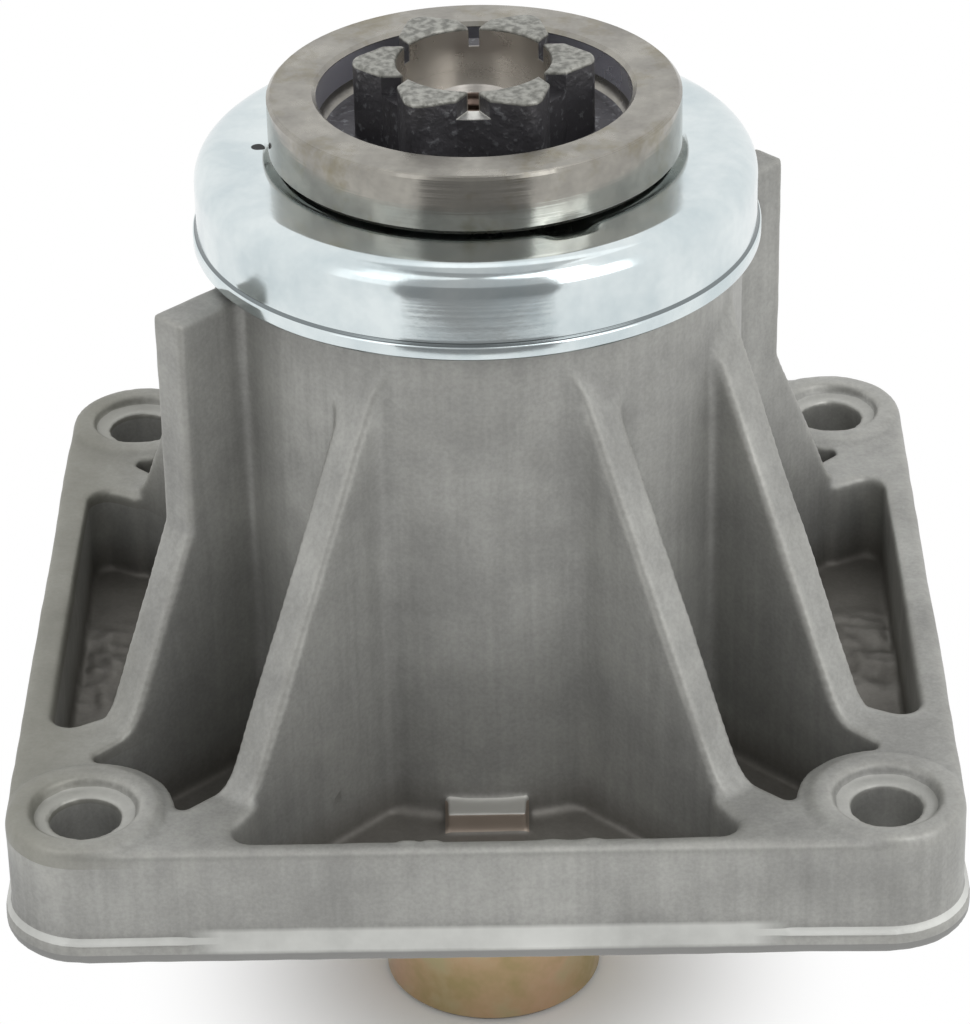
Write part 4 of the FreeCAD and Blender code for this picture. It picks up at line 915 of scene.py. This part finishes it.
def turned_steel():
    """Warm grey metal with soft rings, dark skin and bright cuts, and a recess wall painted lighter still as
    painted light. Turning marks lie about a tenth of a millimetre apart, too fine for this picture, so they
    are drawn 0.45 mm apart."""
    material, tree, shader, place = start_finish("turned_forged_steel")
    radius, height, rings = ring_coordinates(tree, place)
    turning = add(tree, "TexNoise", {"W": rings, "Scale": per_mm(0.45), "Detail": 3.0}, noise_dimensions="1D")
    cloud = add(tree, "TexNoise", {"Vector": place, "Scale": per_mm(7), "Detail": 4.0, "Roughness": 0.65})
    cloud = add(tree, "MapRange", {"Value": cloud, "From Min": 0.35, "From Max": 0.65})
    stain = add(tree, "TexNoise", {"Vector": place, "Scale": per_mm(11), "Detail": 5.0, "Roughness": 0.7})
    stain = add(tree, "MapRange", {"Value": stain, "From Min": 0.52, "From Max": 0.72})
    grit = add(tree, "TexNoise", {"Vector": place, "Scale": per_mm(1.0), "Detail": 3.0})

    bare = add(tree, "Mix", {0: cloud, MIX_A: linear("#8c8983"), MIX_B: linear("#a5a29a")}, **COLOUR)
    bare = add(tree, "Mix", {0: stain, MIX_A: bare, MIX_B: linear("#827b66")}, **COLOUR)
    flecks = add(tree, "MapRange", {"Value": grit, "From Min": 0.58, "From Max": 0.68})
    skin = add(tree, "Mix", {0: flecks, MIX_A: linear("#5e5d60"), MIX_B: linear("#86878a")}, **COLOUR)
    mottle = add(tree, "MapRange", {"Value": grit, "From Min": 0.38, "From Max": 0.62})
    lobe = add(tree, "Mix", {0: mottle, MIX_A: linear("#7b7b76"), MIX_B: linear("#a8a8a2")}, **COLOUR)

    # Later places lie over earlier ones
    skinned, wall, bored, lobed, slot = shaft_places(tree, place, radius, height)
    layers = (
        (skinned, skin),
        # Painted light: the recess's wall is painted far lighter than the other cuts, to lift its shade
        (wall, linear("#e0e0e8")),
        (bored, linear("#b3afa9")),
        (lobed, lobe),
        (slot, linear("#dcdcd8")),
    )
    colour = bare
    for share, over in layers:
        colour = add(tree, "Mix", {0: share, MIX_A: colour, MIX_B: over}, **COLOUR)
    tree.links.new(colour, shader.inputs["Base Color"])

    rough = add(tree, "MapRange", {"Value": cloud, "To Min": 0.38, "To Max": 0.24})
    skinned = add(tree, "Math", {0: skinned, 1: bored}, operation="SUBTRACT", use_clamp=True)
    gritty = add(tree, "Math", {0: skinned, 1: lobed}, operation="MAXIMUM")
    rim = add(tree, "Math", {0: radius, 1: RIM_RADIUS, 2: RIM_HALF}, operation="COMPARE")
    for share, change in ((gritty, GRIT_ROUGHNESS), (rim, RIM_ROUGHNESS)):
        rough = add(tree, "Math", {0: share, 1: change, 2: rough}, operation="MULTIPLY_ADD")
    tree.links.new(rough, shader.inputs["Roughness"])
    shader.inputs["Metallic"].default_value = 0.95
    ground = add(tree, "Bump", {"Height": turning, "Distance": 0.02 * MM, "Strength": 0.5}, out="Normal")
    grit_height = add(tree, "Math", {0: grit, 1: gritty}, operation="MULTIPLY")
    ground = add(tree, "Bump", {"Height": grit_height, "Distance": 0.2 * MM, "Strength": 0.7,
                                "Normal": ground}, out="Normal")
    tree.links.new(ground, shader.inputs["Normal"])
    return material


def dress(node, material):
    """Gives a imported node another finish."""
    mesh = nodes[node].data
    mesh.materials.clear()
    mesh.materials.append(material)


steel = turned_steel()
for node in ("spindle_shaft", "bearing_spacer"):
    dress(node, steel)
print("shaft and spacer dressed")

# %% [markdown]
# ## The pulley sleeve
# The sleeve under the flange is yellow passivated zinc: a thin chromate film over the plate that runs from
# olive gold to pink within a few millimetres, because its colour comes from its thickness. The film could
# be computed as a thin layer, but two noises that mix three chosen colours are easier to match.

# %% Yellow zinc
SLEEVE_SHADE_EDGE = 0.55 * MM


def yellow_zinc():
    """A satin gold that drifts to pink and olive, with a dark line of painted shade at the lower edge."""
    material, tree, shader, place = start_finish("yellow_passivated_zinc")
    film = add(tree, "TexNoise", {"Vector": place, "Scale": per_mm(10), "Detail": 4.0, "Roughness": 0.6})
    film = add(tree, "MapRange", {"Value": film, "From Min": 0.36, "From Max": 0.64})
    patch = add(tree, "TexNoise", {"Vector": place, "Scale": per_mm(5), "Detail": 3.0})
    patch = add(tree, "MapRange", {"Value": patch, "From Min": 0.5, "From Max": 0.7})
    colour = add(tree, "Mix", {0: film, MIX_A: linear("#af9e73"), MIX_B: linear("#ceac90")}, **COLOUR)
    colour = add(tree, "Mix", {0: patch, MIX_A: colour, MIX_B: linear("#b9ad87")}, **COLOUR)
    height = ring_coordinates(tree, place)[1]
    # Painted shade: a dark line along the lower edge
    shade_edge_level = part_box("pulley_sleeve")[0].z + SLEEVE_SHADE_EDGE
    edge = add(tree, "Math", {0: height, 1: shade_edge_level}, operation="LESS_THAN")
    colour = add(tree, "Mix", {0: edge, MIX_A: colour, MIX_B: linear("#6b5c40")}, **COLOUR)
    tree.links.new(colour, shader.inputs["Base Color"])
    rough = add(tree, "MapRange", {"Value": film, "To Min": 0.42, "To Max": 0.28})
    tree.links.new(rough, shader.inputs["Roughness"])
    shader.inputs["Metallic"].default_value = 0.9
    return material


dress("pulley_sleeve", yellow_zinc())
print("sleeve dressed")

# %% [markdown]
# ## The bearings
# Rings and balls are ground and polished bearing steel, cages are pressed from plain sheet, and the seals
# are black rubber with the faint bloom of a moulding. They sit inside the closed barrel, so their finishes
# are simple ones, chosen by the material slot that the record gives each piece.

# %% Bearing finishes
def ground_steel():
    """A clear, cold mirror with hair lines. Grinding lines are far finer, and are drawn 0.3 mm apart."""
    material, tree, shader, place = start_finish("ground_bearing_steel")
    rings = ring_coordinates(tree, place)[2]
    lines = add(tree, "TexNoise", {"W": rings, "Scale": per_mm(0.3), "Detail": 2.0}, noise_dimensions="1D")
    colour = add(tree, "Mix", {0: lines, MIX_A: linear("#b4b5b8"), MIX_B: linear("#c9cacc")}, **COLOUR)
    tree.links.new(colour, shader.inputs["Base Color"])
    shader.inputs["Metallic"].default_value = 1.0
    shader.inputs["Roughness"].default_value = 0.2
    ground = add(tree, "Bump", {"Height": lines, "Distance": 0.006 * MM, "Strength": 0.4}, out="Normal")
    tree.links.new(ground, shader.inputs["Normal"])
    return material


def pressed_sheet():
    """Plain cloudy steel with a satin shine."""
    material, tree, shader, place = start_finish("pressed_sheet_steel")
    cloud = add(tree, "TexNoise", {"Vector": place, "Scale": per_mm(3), "Detail": 3.0})
    colour = add(tree, "Mix", {0: cloud, MIX_A: linear("#8e8d8a"), MIX_B: linear("#b3b2ae")}, **COLOUR)
    tree.links.new(colour, shader.inputs["Base Color"])
    shader.inputs["Metallic"].default_value = 1.0
    shader.inputs["Roughness"].default_value = 0.36
    return material


def moulded_rubber():
    """Black and matt, with a grey bloom in patches."""
    material, tree, shader, place = start_finish("moulded_nitrile_rubber")
    bloom = add(tree, "TexNoise", {"Vector": place, "Scale": per_mm(4), "Detail": 4.0})
    colour = add(tree, "Mix", {0: bloom, MIX_A: linear("#161617"), MIX_B: linear("#2e2e30")}, **COLOUR)
    tree.links.new(colour, shader.inputs["Base Color"])
    rough = add(tree, "MapRange", {"Value": bloom, "To Min": 0.5, "To Max": 0.75})
    tree.links.new(rough, shader.inputs["Roughness"])
    return material


FINISHES = {"bearing_steel": ground_steel(), "cage_steel": pressed_sheet(), "seal_rubber": moulded_rubber()}
bearing_parts = [row for row in frame["record"]["subparts"] if row["material_slot"] in FINISHES]
for row in bearing_parts:
    dress(row["node"], FINISHES[row["material_slot"]])
print("bearing pieces dressed:", len(bearing_parts))

# %% [markdown]
# ## Close the lesson
# The picture is shown as it is computed, with no film look. The box of the dressed part is printed beside
# the box of the solids. The looks may not change the part's size.

# %% Close the lesson
bpy.context.scene.view_settings.view_transform = "Standard"
sizes = {"solids": [list(corner) for corner in solid_box],
         "dressed": [list(corner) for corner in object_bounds()]}
for name, pair in sizes.items():
    print(name, "box in mm:", [[round(v / MM, 2) for v in corner] for corner in pair])
